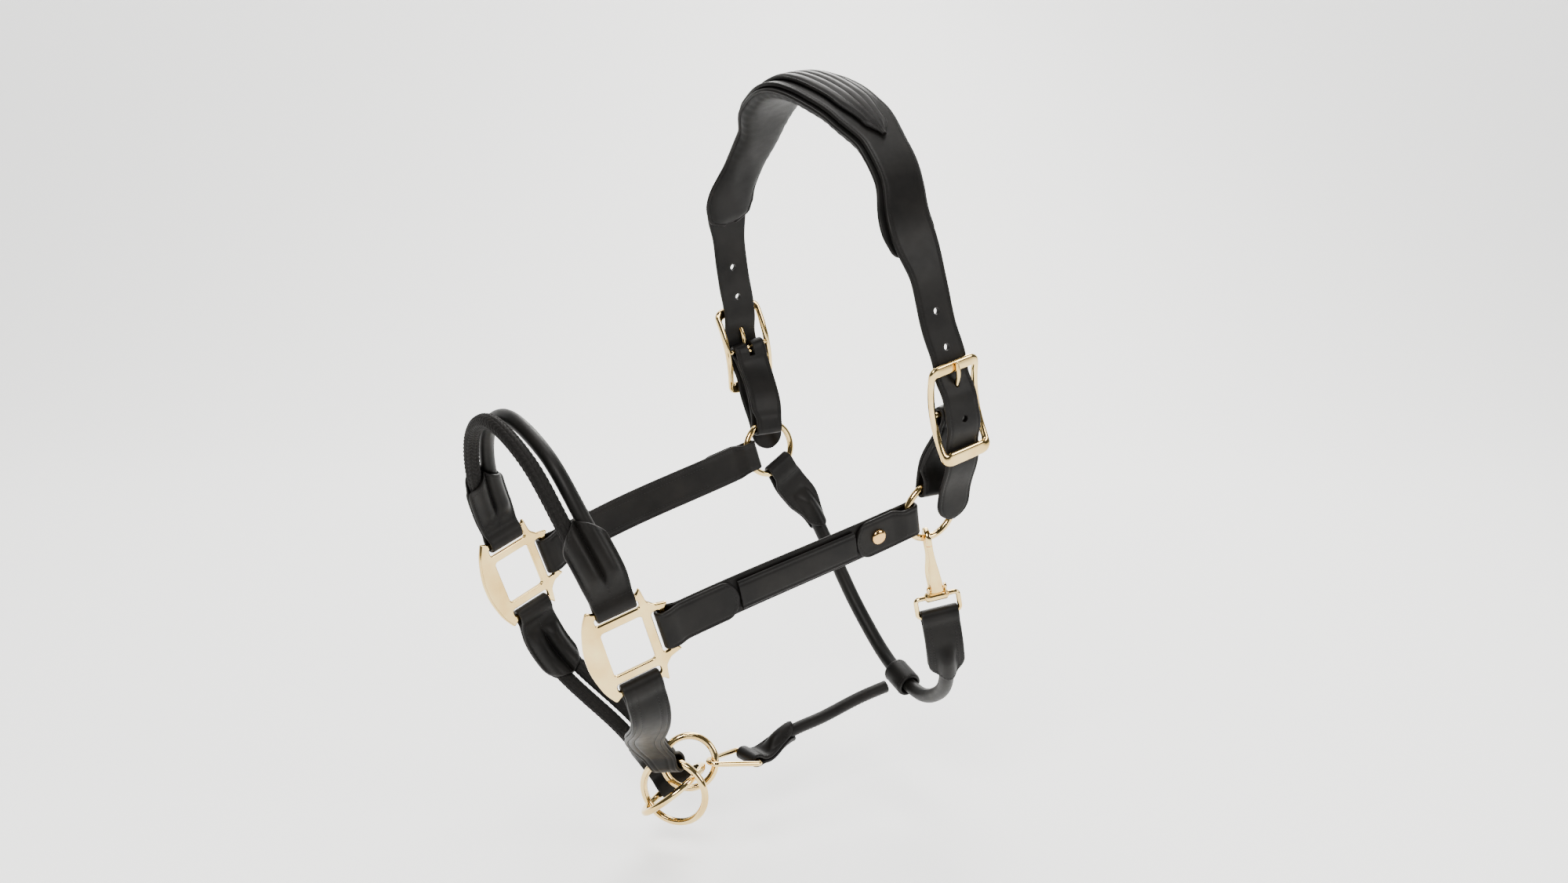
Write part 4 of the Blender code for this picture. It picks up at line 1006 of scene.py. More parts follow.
# ------------------------------------------------------------------ square plates
@dataclass
class SquarePlate:
    """Curved brass plate with horned corners, a window and three strap slots."""

    centre: Vector = field(default_factory=lambda: Vector((-177.5, -79.0, -305.4)) * MM)
    turn: float = radians(18)
    splay: float = radians(8)
    lean: float = radians(5)
    thick: float = 3.0 * MM
    bevel: float = 0.9 * MM
    window: tuple = (26.5 * MM, 30.0 * MM)
    window_offset: float = -4.0 * MM
    slot_gap: float = 5.0 * MM
    slot_length: float = 28 * MM
    slot_bar: float = 3.6 * MM
    slot_wall: float = 5.6 * MM

    def __post_init__(self) -> None:
        """Work out the plate's axes and its bars."""
        back = Vector((cos(self.splay), -sin(self.splay), 0))
        up = Vector((0, -sin(self.lean), cos(self.lean)))
        up = (up - back * up.dot(back)).normalized()
        self.right = back * cos(self.turn) + up * sin(self.turn)
        self.up = up * cos(self.turn) - back * sin(self.turn)
        self.out = self.right.cross(self.up)
        self.slot_top = self.window[1] / 2 + self.slot_wall + self.slot_gap / 2
        self.slot_side = self.window_offset + self.window[0] / 2 + self.slot_wall + self.slot_gap / 2
        self.bar_top = self.slot_top + (self.slot_gap + self.slot_bar) / 2
        self.bar_side = self.slot_side + (self.slot_gap + self.slot_bar) / 2
        self.fold = sqrt((self.slot_bar / 2) ** 2 + (self.thick / 2) ** 2) + FOLD_PLAY

    def bar(self, up: int) -> Vector:
        """Middle of the top bar (up 1) or the bottom one (up -1)."""
        return self.centre + self.up * self.bar_top * up + self.right * self.window_offset

    def hole(self, u: float, v: float, width: float, height: float, radius: float) -> list[Vector]:
        """A rounded rectangular hole's outline."""
        a, b = width / 2, height / 2
        return rounded([Vector((u - a, v - b)), Vector((u + a, v - b)), Vector((u + a, v + b)),
                        Vector((u - a, v + b))], radius, 8)

    def build(self) -> None:
        """Both plates."""
        edge = self.bar_side + self.slot_bar / 2
        top = self.bar_top + self.slot_bar / 2
        left = self.window_offset - self.window[0] / 2
        upper = [(edge, 13.0 * MM), (edge + 3 * MM, 16.5 * MM), (edge - 5 * MM, 18.5 * MM),
                 (edge - 9 * MM, 22.5 * MM), (edge - 10.5 * MM, top + 3.5 * MM), (edge - 13.5 * MM, top),
                 (left, top), (left - 4 * MM, top + 2.5 * MM), (left - 9 * MM, top - 6 * MM),
                 (left - 12 * MM, top - 17 * MM), (left - 13.2 * MM, 5 * MM)]
        outline = [Vector(p) for p in upper + [(u, -v) for u, v in reversed(upper)]]
        radii = [1.6 * MM] * 8 + [5 * MM] * 3
        holes = [self.hole(self.window_offset, 0, *self.window, 2.5 * MM),
                 self.hole(self.window_offset, self.slot_top, self.slot_length, self.slot_gap, 2 * MM),
                 self.hole(self.window_offset, -self.slot_top, self.slot_length, self.slot_gap, 2 * MM),
                 self.hole(self.slot_side, 0, self.slot_gap, self.slot_length, 2 * MM)]
        mesh = plate_mesh("near_square", [rounded(outline, radii + radii[::-1], 8)] + holes,
                          self.thick, self.bevel)
        frame_axes = Matrix((self.right, self.up, self.out)).transposed().to_4x4()
        mesh.transform(Matrix.Translation(self.centre) @ frame_axes)
        place_pair("near_square", mesh, FINISHES.brass, "harness", "near_square_plate")


# ------------------------------------------------------------------ cheeks
@dataclass
class Cheek:
    """Cheek strap turned back at both ends, with a raised stitched overlay and a stud."""

    square: SquarePlate
    slope: float = radians(13.5)
    front_turn: float = 47 * MM
    rear_turn: float = 43 * MM
    overlay_width: float = 19 * MM
    overlay_thick: float = 2.6 * MM
    stud_radius: float = 5.0 * MM
    stud_height: float = 2.6 * MM
    stud_from_ring: float = 27 * MM

    def route(self) -> Route:
        """Middle line from the square's side bar to the ring."""
        to_square = -Vector((cos(self.slope), 0, 0)) - RING_UP * sin(self.slope)
        bar = self.square.centre + self.square.right * self.square.bar_side
        seat = RING_CENTRE + to_square * RING_SEAT
        return Route([bar, bar + self.square.right * 12 * MM, seat + to_square * 20 * MM, seat],
                     blend_out(self.square.out, RING_OUT))

    def build(self) -> None:
        """Both cheeks with their stitching."""
        route = self.route()
        length = route.length
        strap = FoldedStrap(route, Fold(self.square.fold, turn_back=self.front_turn),
                            Fold(RING_FOLD, RING_RUN, turn_back=self.rear_turn,
                                 half_width=RING_STRAP_WIDTH / 2),
                            grooves=(EDGE_INSET,))
        place_pair("near_cheek", strap, FINISHES.leather, "harness", "near_cheek_strap")
        overlay = FlatStrap(route, self.front_turn + 1 * MM, length - self.rear_turn - 1 * MM,
                            lambda s: self.overlay_width / 2, self.overlay_thick,
                            lift=self.overlay_thick / 2 + GAP / 2, grooves=(2.4 * MM,), crown=0.5 * MM)
        place_pair("near_cheek_raised", overlay, FINISHES.leather, "harness",
                   "near_cheek_overlay")
        seam = Seam()
        strap.border(seam, EDGE_INSET, 6 * MM, self.front_turn)
        strap.border(seam, EDGE_INSET, length - 9 * MM, length - self.rear_turn)
        overlay.edge_rows(seam, 2.4 * MM, overlay.start + 1.5 * MM, overlay.stop - 1.5 * MM)
        for side in (1, -1):
            seam.row(lambda s: strap.surface(s, side * (strap.half_width(s) - EDGE_INSET), pi),
                     6 * MM, length - 9 * MM)
            seam.row(lambda s: strap.surface(s, side * (self.overlay_width / 2 - 2.4 * MM), pi),
                     self.front_turn, length - self.rear_turn)
        place_pair("near_cheek_stitching", seam, FINISHES.thread, "harness")
        self.stud(route)

    def stud(self, route: Route) -> None:
        """A domed stud on the rear turned-back end."""
        point, along, out = route.at(route.length - self.stud_from_ring)
        seat = point + out * (GAP / 2 + LEATHER + GAP / 2)
        side = along.cross(out)
        rings = []
        for t in (0, 0.08, 0.2, 0.35, 0.5, 0.65, 0.78, 0.88, 0.95, 0.985):
            radius = self.stud_radius * sqrt(max(1 - t ** 2.4, 0.0004))
            height = self.stud_height * (0.18 + 0.82 * t)
            turns = [tau * k / 48 for k in range(48)]
            rings.append([seat + out * height + (along * cos(turn) + side * sin(turn)) * radius
                          for turn in turns])
        foot = [seat + (p - seat - out * (p - seat).dot(out)) for p in rings[0]]
        place_pair("near_stud", skin("near_stud", [foot] + rings), FINISHES.stud, "harness", "near_cheek_stud")


# ------------------------------------------------------------------ buckles
@dataclass
class Buckle:
    """Cast frame with a centre bar, its tongue and the folded chape that ties it to the ring."""

    centre: Vector = field(default_factory=lambda: Vector((24.0, -126.0, -182.0)) * MM)
    tilt: float = radians(12)
    chape_lean: float = radians(18)
    length: float = 57 * MM
    width: float = 34 * MM
    dip: float = 6.0 * MM
    top_bar: float = 7.0 * MM
    lower_bar: float = 8.6 * MM
    side_bar: float = 4.2 * MM
    thick: float = 3.2 * MM
    centre_bar: float = 1.7 * MM
    tongue_radius: float = 1.4 * MM

    def __post_init__(self) -> None:
        """Work out the buckle's axes."""
        self.up = Vector((-sin(self.tilt), 0, cos(self.tilt)))
        self.right = Vector((cos(self.tilt), 0, sin(self.tilt)))
        self.bar = self.centre - NEAR_OUT * self.dip
        self.rest = self.dip + self.thick / 2 + GAP + self.tongue_radius
        self.eye = self.centre_bar + GAP + self.tongue_radius
        self.knee = self.on_bar(self.eye + 0.2 * MM, 11.5 * MM)
        self.bend = self.on_bar(self.rest - 0.4 * MM, self.length / 2 - 5 * MM)

    def on_bar(self, out: float, up: float, right: float = 0.0) -> Vector:
        """A point measured from the centre bar."""
        return self.bar + NEAR_OUT * out + self.up * up + self.right * right

    def frame(self) -> bpy.types.Mesh:
        """The cast frame and its centre bar."""
        a, b = self.width / 2, self.length / 2
        corners = [Vector(p) for p in ((-a, -b), (a, -b), (a, 0), (a, b), (-a, b), (-a, 0))]
        outline = resampled(rounded(corners, [6 * MM, 6 * MM, 9 * MM, 6 * MM, 6 * MM, 9 * MM], 8), 1.2 * MM)
        rings = []
        for i, point in enumerate(outline):
            ahead = outline[(i + 1) % len(outline)] - outline[i - 1]
            along = (self.right * ahead.x + self.up * ahead.y).normalized()
            level = abs(point.y) / b
            centre = self.centre + self.right * point.x + self.up * point.y \
                - NEAR_OUT * self.dip * (1 - level ** 2)
            broad = (self.lower_bar if point.y < 0 else self.top_bar) / 2
            flat = ease((level - 0.84) / 0.16)
            half_width = self.side_bar / 2 + (broad - self.side_bar / 2) * flat
            half_thick = self.side_bar / 2 + (self.thick / 2 - self.side_bar / 2) * flat
            rings.append(cast_ring(centre, NEAR_OUT.cross(along).normalized(), NEAR_OUT, half_width, half_thick,
                                   2.2 + 1.4 * flat))
        bar = rod("bar", [self.on_bar(0, 0, x) for x in spread(-a, a, 4 * MM)], self.centre_bar)
        return join_meshes("near_buckle", [skin("frame", rings, closed=True), bar])

    def tongue(self) -> bpy.types.Mesh:
        """An eye round the centre bar and a pin through the strap onto the top bar."""
        eye = [self.on_bar(self.eye * cos(radians(d)), self.eye * sin(radians(d))) for d in range(-150, 1, 15)]
        point = self.on_bar(self.rest, self.length / 2 + 2.5 * MM)
        pin = smooth_run([eye[-1], self.knee, self.bend, point], 10)
        path = eye + pin[1:]

        def radius(i: int, turn: float) -> float:
            """The pin tapers a little to its point."""
            return self.tongue_radius * (1 - 0.25 * ease((i - len(path) + 8) / 8))

        return rod("near_tongue_pin", path, radius)

    def build(self) -> None:
        """Both buckles, tongues and chapes."""
        place_pair("near_buckle", self.frame(), FINISHES.brass, "harness", "near_buckle_frame")
        place_pair("near_tongue_pin", self.tongue(), FINISHES.brass, "near_tongue", "near_buckle_tongue")
        seat = RING_CENTRE + RING_UP * RING_SEAT
        down = -self.up * cos(self.chape_lean) - NEAR_OUT * sin(self.chape_lean)
        route = Route([self.bar, self.bar + down * 12 * MM, seat + RING_UP * 16 * MM, seat],
                      blend_out(NEAR_OUT, RING_OUT))
        chape = FoldedStrap(route, Fold(self.centre_bar + FOLD_PLAY),
                            Fold(RING_FOLD, RING_RUN, half_width=RING_STRAP_WIDTH / 2), grooves=(EDGE_INSET,))
        half = self.tongue_radius + 0.8 * MM
        notch = [[self.on_bar(out, up, right) for out, right in
                  ((-7 * MM, -half), (-7 * MM, half), (7 * MM, half), (7 * MM, -half))]
                 for up in (-5.5 * MM, 7.5 * MM)]
        mesh = cut(chape.mesh("near_chape"), [skin("notch", notch)])
        place_pair("near_chape", mesh, FINISHES.leather, "harness", "near_buckle_chape")
        seam = Seam()
        for side in (1, -1):
            for turn in (0, pi):
                seam.row(lambda s: chape.surface(s, side * (chape.half_width(s) - EDGE_INSET), turn),
                         6 * MM, route.length - 9 * MM)
        place_pair("near_chape_stitching", seam, FINISHES.thread, "harness")


# ------------------------------------------------------------------ crown
@dataclass
class Crown:
    """The crown strap with punched tails, its padded and piped lining and its channelled overlay."""

    buckle: Buckle
    tail: tuple = ((35, -107, -257), (33, -111.5, -238), (30.3, -121.4, -214), (28.9, -122.2, -205),
                   (26.3, -126.9, -192), (24, -127.4, -182), (21.7, -126.9, -172), (19.1, -122.4, -160),
                   (17.6, -121.6, -151), (12, -118.5, -132), (5, -114, -98), (-1, -104, -69))
    poll: tuple = ((5, -87, -44), (9, -60, -20), (4, -25, 2), (-3, 18, 11), (-2, 47, 0), (4, 74, -23),
                   (3, 94, -48))
    side: tuple = (1, 0, 0.12)
    widths: tuple = ((0, 12.5), (160, 12.8), (190, 16), (220, 14), (256, 15.5), (290, 21), (315, 23))
    pad_widths: tuple = ((178, 12), (184, 16), (195, 18), (220, 15.5), (256, 17), (290, 22.5), (315, 24.5))
    overlay_widths: tuple = ((262, 1.6), (275, 9), (300, 14), (330, 15))
    pad_start: float = 178 * MM
    pad_thick: float = 9 * MM
    overlay_start: float = 262 * MM
    overlay_thick: float = 2.4 * MM
    tail_tip: float = 12 * MM
    hole_radius: float = 2.2 * MM
    hole_pitch: float = 23 * MM
    hole_steps: tuple = (-1, 1, 2)
    piping: float = 1.25 * MM
    fill: float = 0.75

    def __post_init__(self) -> None:
        """Run the middle line over the poll."""
        near = [Vector(p) * MM for p in self.tail]
        points = near + [Vector(p) * MM for p in self.poll] + [far_side(p) for p in reversed(near)]
        self.route = Route(points, across=Vector(self.side))

    def from_tail(self, s: float) -> float:
        """Distance to the nearer tail's tip."""
        return min(s, self.route.length - s)

    @staticmethod
    def read(table: tuple, distance: float) -> float:
        """Half width at a distance from a tail's tip."""
        m = distance / MM
        for (a, u), (b, v) in zip(table, table[1:]):
            if m <= b:
                return (u + (v - u) * ease((m - a) / (b - a))) * MM
        return table[-1][1] * MM

    def strap_width(self, s: float) -> float:
        """The strap's half width, rounded at the tails' tips."""
        tip = max(Tip.ROUND.share(self.from_tail(s) / self.tail_tip), 0.2)
        return self.read(self.widths, self.from_tail(s)) * tip

    def build(self) -> None:
        """Strap, pad, piping, overlay and stitching."""
        length = self.route.length
        strap = FlatStrap(self.route, 0, length, self.strap_width, CROWN_LEATHER, grooves=(2.3 * MM,),
                          step=1.5 * MM)
        mesh = cut(strap.mesh("crown"), self.hole_cutters())
        place("crown", mesh, FINISHES.leather, "harness", "crown_strap")
        seam = Seam()
        strap.edge_rows(seam, 2.3 * MM, 9 * MM, length - 9 * MM)
        overlay = FlatStrap(self.route, self.overlay_start, length - self.overlay_start,
                            lambda s: self.read(self.overlay_widths, self.from_tail(s)), self.overlay_thick,
                            lift=(CROWN_LEATHER + self.overlay_thick) / 2 + GAP,
                            shares=(-0.86, -0.42, 0.0, 0.42, 0.86),
                            depth=1.0 * MM, spread=1.1 * MM, crown=1.5 * MM)
        place("crown_channels", overlay, FINISHES.leather, "harness", "crown_overlay")
        for share in overlay.shares:
            seam.row(lambda s: overlay.surface(s, share * overlay.half_width(s)),
                     overlay.start + 5 * MM, overlay.stop - 5 * MM)
        place("crown_stitching", seam, FINISHES.thread, "harness")
        self.pad()

    def hole_cutters(self) -> list[bpy.types.Mesh]:
        """The tails' punched holes and the slots that the tongues come through."""
        goal = self.buckle.knee.lerp(self.buckle.bend, 0.5)
        way = (self.buckle.bend - self.buckle.knee).normalized()
        at_tongue = min(spread(0, self.route.length / 2, 1 * MM),
                        key=lambda s: (self.route.at(s)[0] - goal).length)
        cutters = [rod("hole", [goal - way * 8 * MM, goal + way * 8 * MM],
                       self.buckle.tongue_radius + 0.55 * MM)]
        for k in self.hole_steps:
            point, along, out = self.route.at(at_tongue + k * self.hole_pitch)
            cutters.append(rod("hole", [point - out * 4 * MM, point + out * 4 * MM], self.hole_radius))
        return cutters + [mirror_mesh(cutter, "hole") for cutter in cutters]

    def pad(self) -> None:
        """A stuffed lining, fuller towards the poll, puckered at its seam and piped."""
        start, stop = self.pad_start, self.route.length - self.pad_start
        rings, edges = [], {1: [], -1: []}
        for s in spread(start, stop, 1.6 * MM):
            point, along, out = self.route.at(s)
            across = out.cross(along)
            depth = self.from_tail(s)
            closing = Tip.ROUND.share((min(s - start, stop - s) + 0.6 * MM) / (9 * MM))
            half_width = self.read(self.pad_widths, depth) * max(closing, 0.3)
            thick = self.pad_thick * (0.5 + 0.5 * ease((depth - start) / (90 * MM))) * max(closing, 0.35)
            pucker = 0.5 + 0.5 * cos(tau * s / (7.5 * MM))
            seat = point - out * (CROWN_LEATHER / 2 + GAP)
            ring = []
            for k in range(41):
                turn = pi * k / 40
                c, v = cos(turn), sin(turn)
                u = half_width * abs(c) ** 0.62 * (1 if c >= 0 else -1)
                rim = exp(-((1 - abs(c)) / 0.22) ** 2)
                sag = thick * v ** 0.62 * (1 - 0.10 * rim * pucker)
                ripple = 0.22 * MM * sin(s / (5.3 * MM) + u / (3.1 * MM)) * v
                ring.append(seat + across * u - out * (sag + ripple * (1 - rim)))
            rings.append(ring)
            for side in edges:
                edges[side].append(seat + across * side * half_width - out * (self.piping + 0.2 * MM))
        pad = place("crown_cushion", skin("crown_cushion", rings), FINISHES.lining, "harness", "crown_pad")
        tubes = [rod("piping", edges[side], self.piping, sides=14) for side in edges]
        place("crown_piping", join_meshes("crown_piping", tubes), FINISHES.leather, "harness")
        seam = Seam(pitch=2.9 * MM)
        for side in edges:
            count = len(edges[side])
            line = []
            for i in range(2, count - 2):
                point, along, out = self.route.at(start + (stop - start) * i / (count - 1))
                inward = -out.cross(along) * side
                line.append((edges[side][i] + inward * self.piping * 0.9 - out * self.piping * 0.55,
                             (inward - out).normalized()))
            seam.run(line)
        place("crown_cushion_stitching", seam, FINISHES.thread, "harness")


# ------------------------------------------------------------------ tabs round rolls
@dataclass
class RollTab:
    """A folded tab that holds one or two rolls between its layers, stitched all round."""

    strap: FoldedStrap
    tip_at: float
    inset: float = 2.1 * MM
    from_fold: float = 7 * MM
    inner_rows: tuple = (0.0,)
    cross_row: bool = True

    def seam(self) -> Seam:
        """The border, the rows between the rolls and the row across the fold, on both faces."""
        seam = Seam()
        for turn in (0, pi):
            self.strap.border(seam, self.inset, self.from_fold, self.tip_at, turn)
            for x in self.inner_rows:
                for side in ((1, -1) if x else (1,)):
                    seam.row(lambda s: self.strap.surface(s, side * x, turn),
                             self.from_fold + 2 * MM, self.tip_at - self.strap.tip * 0.35)
            if self.cross_row:
                wide = self.strap.half_width(self.from_fold) - self.inset
                seam.run([self.strap.surface(self.from_fold, x, turn) for x in spread(-wide, wide, 1 * MM)])
        return seam


def sampled(route: Route, start: float, stop: float, step: float = 6 * MM,
            shift: float = 0.0) -> list[Vector]:
    """Points of a route, or of a line beside it."""
    points = []
    for s in spread(start, stop, step):
        point, along, out = route.at(s)
        points.append(point + out.cross(along) * shift)
    return points


# ------------------------------------------------------------------ noseband
@dataclass
class Noseband:
    """Plaited rope and leather roll side by side between the two squares."""

    square: SquarePlate
    points: tuple = ((-208, -68, -231), (-217, -43, -198), (-221.5, 0, -182))
    tab_length: float = 57 * MM
    rise: float = radians(83)

    def out(self, share: float) -> Vector:
        """Outward at the sides and forward over the nose."""
        turn = pi / 2 * ease((0.5 - abs(share - 0.5) - 0.22) / 0.28)
        side = -1 if share < 0.5 else 1
        forward = Vector((-cos(self.rise), 0, sin(self.rise)))
        return (self.square.out * Vector((1, -side, 1))) * cos(turn) + forward * sin(turn)

    def build(self) -> None:
        """Tabs, rope and roll."""
        bar = self.square.bar(1)
        near = [bar, bar + self.square.up * 14 * MM] + [Vector(p) * MM for p in self.points]
        route = Route(near + [far_side(p) for p in reversed(near[:-1])], self.out)
        end = Route(sampled(route, 0, self.tab_length), self.square.out)
        strap = FoldedStrap(end, Fold(self.square.fold, neck=7 * MM), None, tip=16 * MM,
                            tip_shape=Tip.POINTED,
                            widths=lambda s: STRAP_WIDTH / 2 + 1.6 * MM * ease(s / (22 * MM)),
                            filling=Filling(TWIN_ROLLS, ROLL_RADIUS, 10 * MM, 24 * MM))
        place_pair("near_nose_holder", strap, FINISHES.leather, "harness", "near_nose_tab")
        seam = RollTab(strap, self.tab_length).seam()
        place_pair("near_nose_holder_stitching", seam, FINISHES.thread, "harness")
        span = (self.tab_length * 0.5, route.length - self.tab_length * 0.5)
        rope = sampled(route, *span, 11 * MM, ROLL_SPACING / 2)
        place("nose_plait", PlaitedCord().mesh("nose_plait", rope), FINISHES.cord, "harness", "nose_rope")
        roll = sampled(route, *span, 11 * MM, -ROLL_SPACING / 2)
        mesh, stitches = LeatherRoll(ROLL_RADIUS, Vector((1, 0, -0.25))).meshes("nose_leather_roll", roll)
        place("nose_leather_roll", mesh, FINISHES.leather, "harness", "nose_roll")
        place("nose_roll_stitching", stitches, FINISHES.thread, "harness")


# ------------------------------------------------------------------ chin
@dataclass
class Chin:
    """Near chin strap, far chin tab with its two plaited ropes, and the three linked rings."""

    square: SquarePlate
    ring_centre: Vector = field(default_factory=lambda: Vector((-112.3, -5.0, -448.4)) * MM)
    ring_radius: float = 22.3 * MM
    lead_radius: float = 24.5 * MM
    jowl_radius: float = 17.6 * MM
    wire: float = 2.4 * MM
    turn: float = radians(33)
    pitch: float = radians(14)
    ring_tilt: float = radians(26)
    lead_slope: float = radians(37.6)
    strap_shift: float = 0.33
    tab_length: float = 54 * MM
    end_length: float = 50 * MM
    rope_middle: tuple = (-122, 34, -415)

    def __post_init__(self) -> None:
        """Work out the rings' places and axes."""
        self.right = Vector((cos(self.turn), -sin(self.turn), 0))
        self.out = Vector((-sin(self.turn) * cos(self.pitch), -cos(self.turn) * cos(self.pitch),
                           sin(self.pitch)))
        self.up = self.out.cross(self.right)
        lead_along = self.right * cos(self.lead_slope) + self.up * sin(self.lead_slope)
        self.lead_axis = self.up * cos(self.lead_slope) - self.right * sin(self.lead_slope)
        self.ring_axis = self.out * cos(self.ring_tilt) - lead_along * sin(self.ring_tilt)
        self.lead_centre = self.ring_centre - lead_along * 1.5 * MM - self.out * 12 * MM
        self.jowl_centre = self.ring_centre + self.right * 9.2 * MM + self.up * 16.6 * MM - self.out * 15 * MM
        self.link_bar = self.jowl_centre + self.right * (self.jowl_radius + 1 * MM) + Vector((28, 4, -5)) * MM

    def build(self) -> None:
        """Rings, strap, tabs and ropes."""
        for name, centre, axis, radius, weld, body, node in (
                ("chin_wire_ring", self.ring_centre, self.ring_axis, self.ring_radius, None, "chin_ring",
                 "near_chin_ring"),
                ("lead_wire_ring", self.lead_centre, self.lead_axis, self.lead_radius, 2.4, "lead_ring_body",
                 "lead_ring"),
                ("jowl_wire_ring", self.jowl_centre, self.out, self.jowl_radius, None, "jowl_ring_body",
                 "jowl_ring")):
            place(name, wire_ring(name, centre, axis, radius, self.wire, weld), FINISHES.brass, body, node)
        self.near_strap()
        self.far_ropes()

    def near_strap(self) -> None:
        """The belt between the near square and the chin ring."""
        top = self.square.bar(-1)
        toward = (top - self.ring_centre).normalized() - self.right * self.strap_shift
        toward = (toward - self.ring_axis * toward.dot(self.ring_axis)).normalized()
        sag = self.ring_radius - sqrt(self.ring_radius ** 2 - (RING_STRAP_WIDTH / 2) ** 2)
        low = self.ring_centre + toward * (self.ring_radius - sag / 2)
        tangent = toward.cross(self.ring_axis)
        down = low - top
        down = (down - tangent * down.dot(tangent)).normalized()
        route = Route([top, top - self.square.up * 12 * MM, low - down * 24 * MM, low],
                      blend_out(self.square.out, down.cross(tangent)))
        strap = FoldedStrap(route, Fold(self.square.fold),
                            Fold(self.wire + sag / 2 + FOLD_PLAY, neck=12 * MM,
                                 half_width=RING_STRAP_WIDTH / 2),
                            grooves=(EDGE_INSET, 6.2 * MM))
        place("near_chin_belt", strap, FINISHES.leather, "harness", "near_chin_strap")
        seam = Seam()
        for inset in strap.grooves:
            for side in (1, -1):
                for turn in (0, pi):
                    seam.row(lambda s: strap.surface(s, side * (strap.half_width(s) - inset), turn),
                             7 * MM, route.length - 14 * MM)
        place("near_chin_stitching", seam, FINISHES.thread, "harness")

    def far_ropes(self) -> None:
        """The two ropes, the tab on the far square and the tab on the lead ring."""
        far_top = far_side(self.square.bar(-1))
        far_up = far_side(self.square.up)
        inward = -far_side(self.square.out)
        hold = self.lead_centre - self.out * (self.lead_radius - 1.9 * MM)
        route = Route([far_top, far_top - far_up * 20 * MM, Vector(self.rope_middle) * MM,
                       hold + self.lead_axis * 26 * MM, hold], blend_out(inward, self.out))
        length = route.length
        first = Route(sampled(route, 0, self.tab_length), blend_out(inward, route.at(self.tab_length)[2]))
        tab = FoldedStrap(first, Fold(self.square.fold, neck=7 * MM), None, tip=16 * MM,
                          widths=lambda s: STRAP_WIDTH / 2 + 1.6 * MM * ease(s / (22 * MM)),
                          filling=Filling(TWIN_ROLLS, ROLL_RADIUS, 10 * MM, 24 * MM))
        place("far_chin_holder", tab, FINISHES.leather, "harness", "far_chin_tab")
        seam = RollTab(tab, self.tab_length).seam()
        place("far_chin_holder_stitching", seam, FINISHES.thread, "harness")
        back = [route.at(length - s)[0] for s in spread(0, self.end_length, 6 * MM)]
        last = Route(back, blend_out(self.out, route.at(length - self.end_length)[2]))
        end = FoldedStrap(last, Fold(self.wire + 1.9 * MM + FOLD_PLAY, 3 * MM), None, tip=16 * MM,
                          filling=Filling(TWIN_ROLLS, ROLL_RADIUS, 20 * MM, 34 * MM))
        place("chin_rope_end_holder", end, FINISHES.leather, "harness",
              "chin_rope_end_tab")
        seam = RollTab(end, self.end_length, from_fold=13 * MM).seam()
        place("chin_rope_end_stitching", seam, FINISHES.thread, "harness")
        for name, side in (("chin_rope_upper", 1), ("chin_rope_lower", -1)):
            path = sampled(route, self.tab_length * 0.55, length - self.end_length * 0.88, 10 * MM,
                           side * ROLL_SPACING / 2)
            place(name + "_plait", PlaitedCord().mesh(name + "_plait", path), FINISHES.cord, "harness", name)


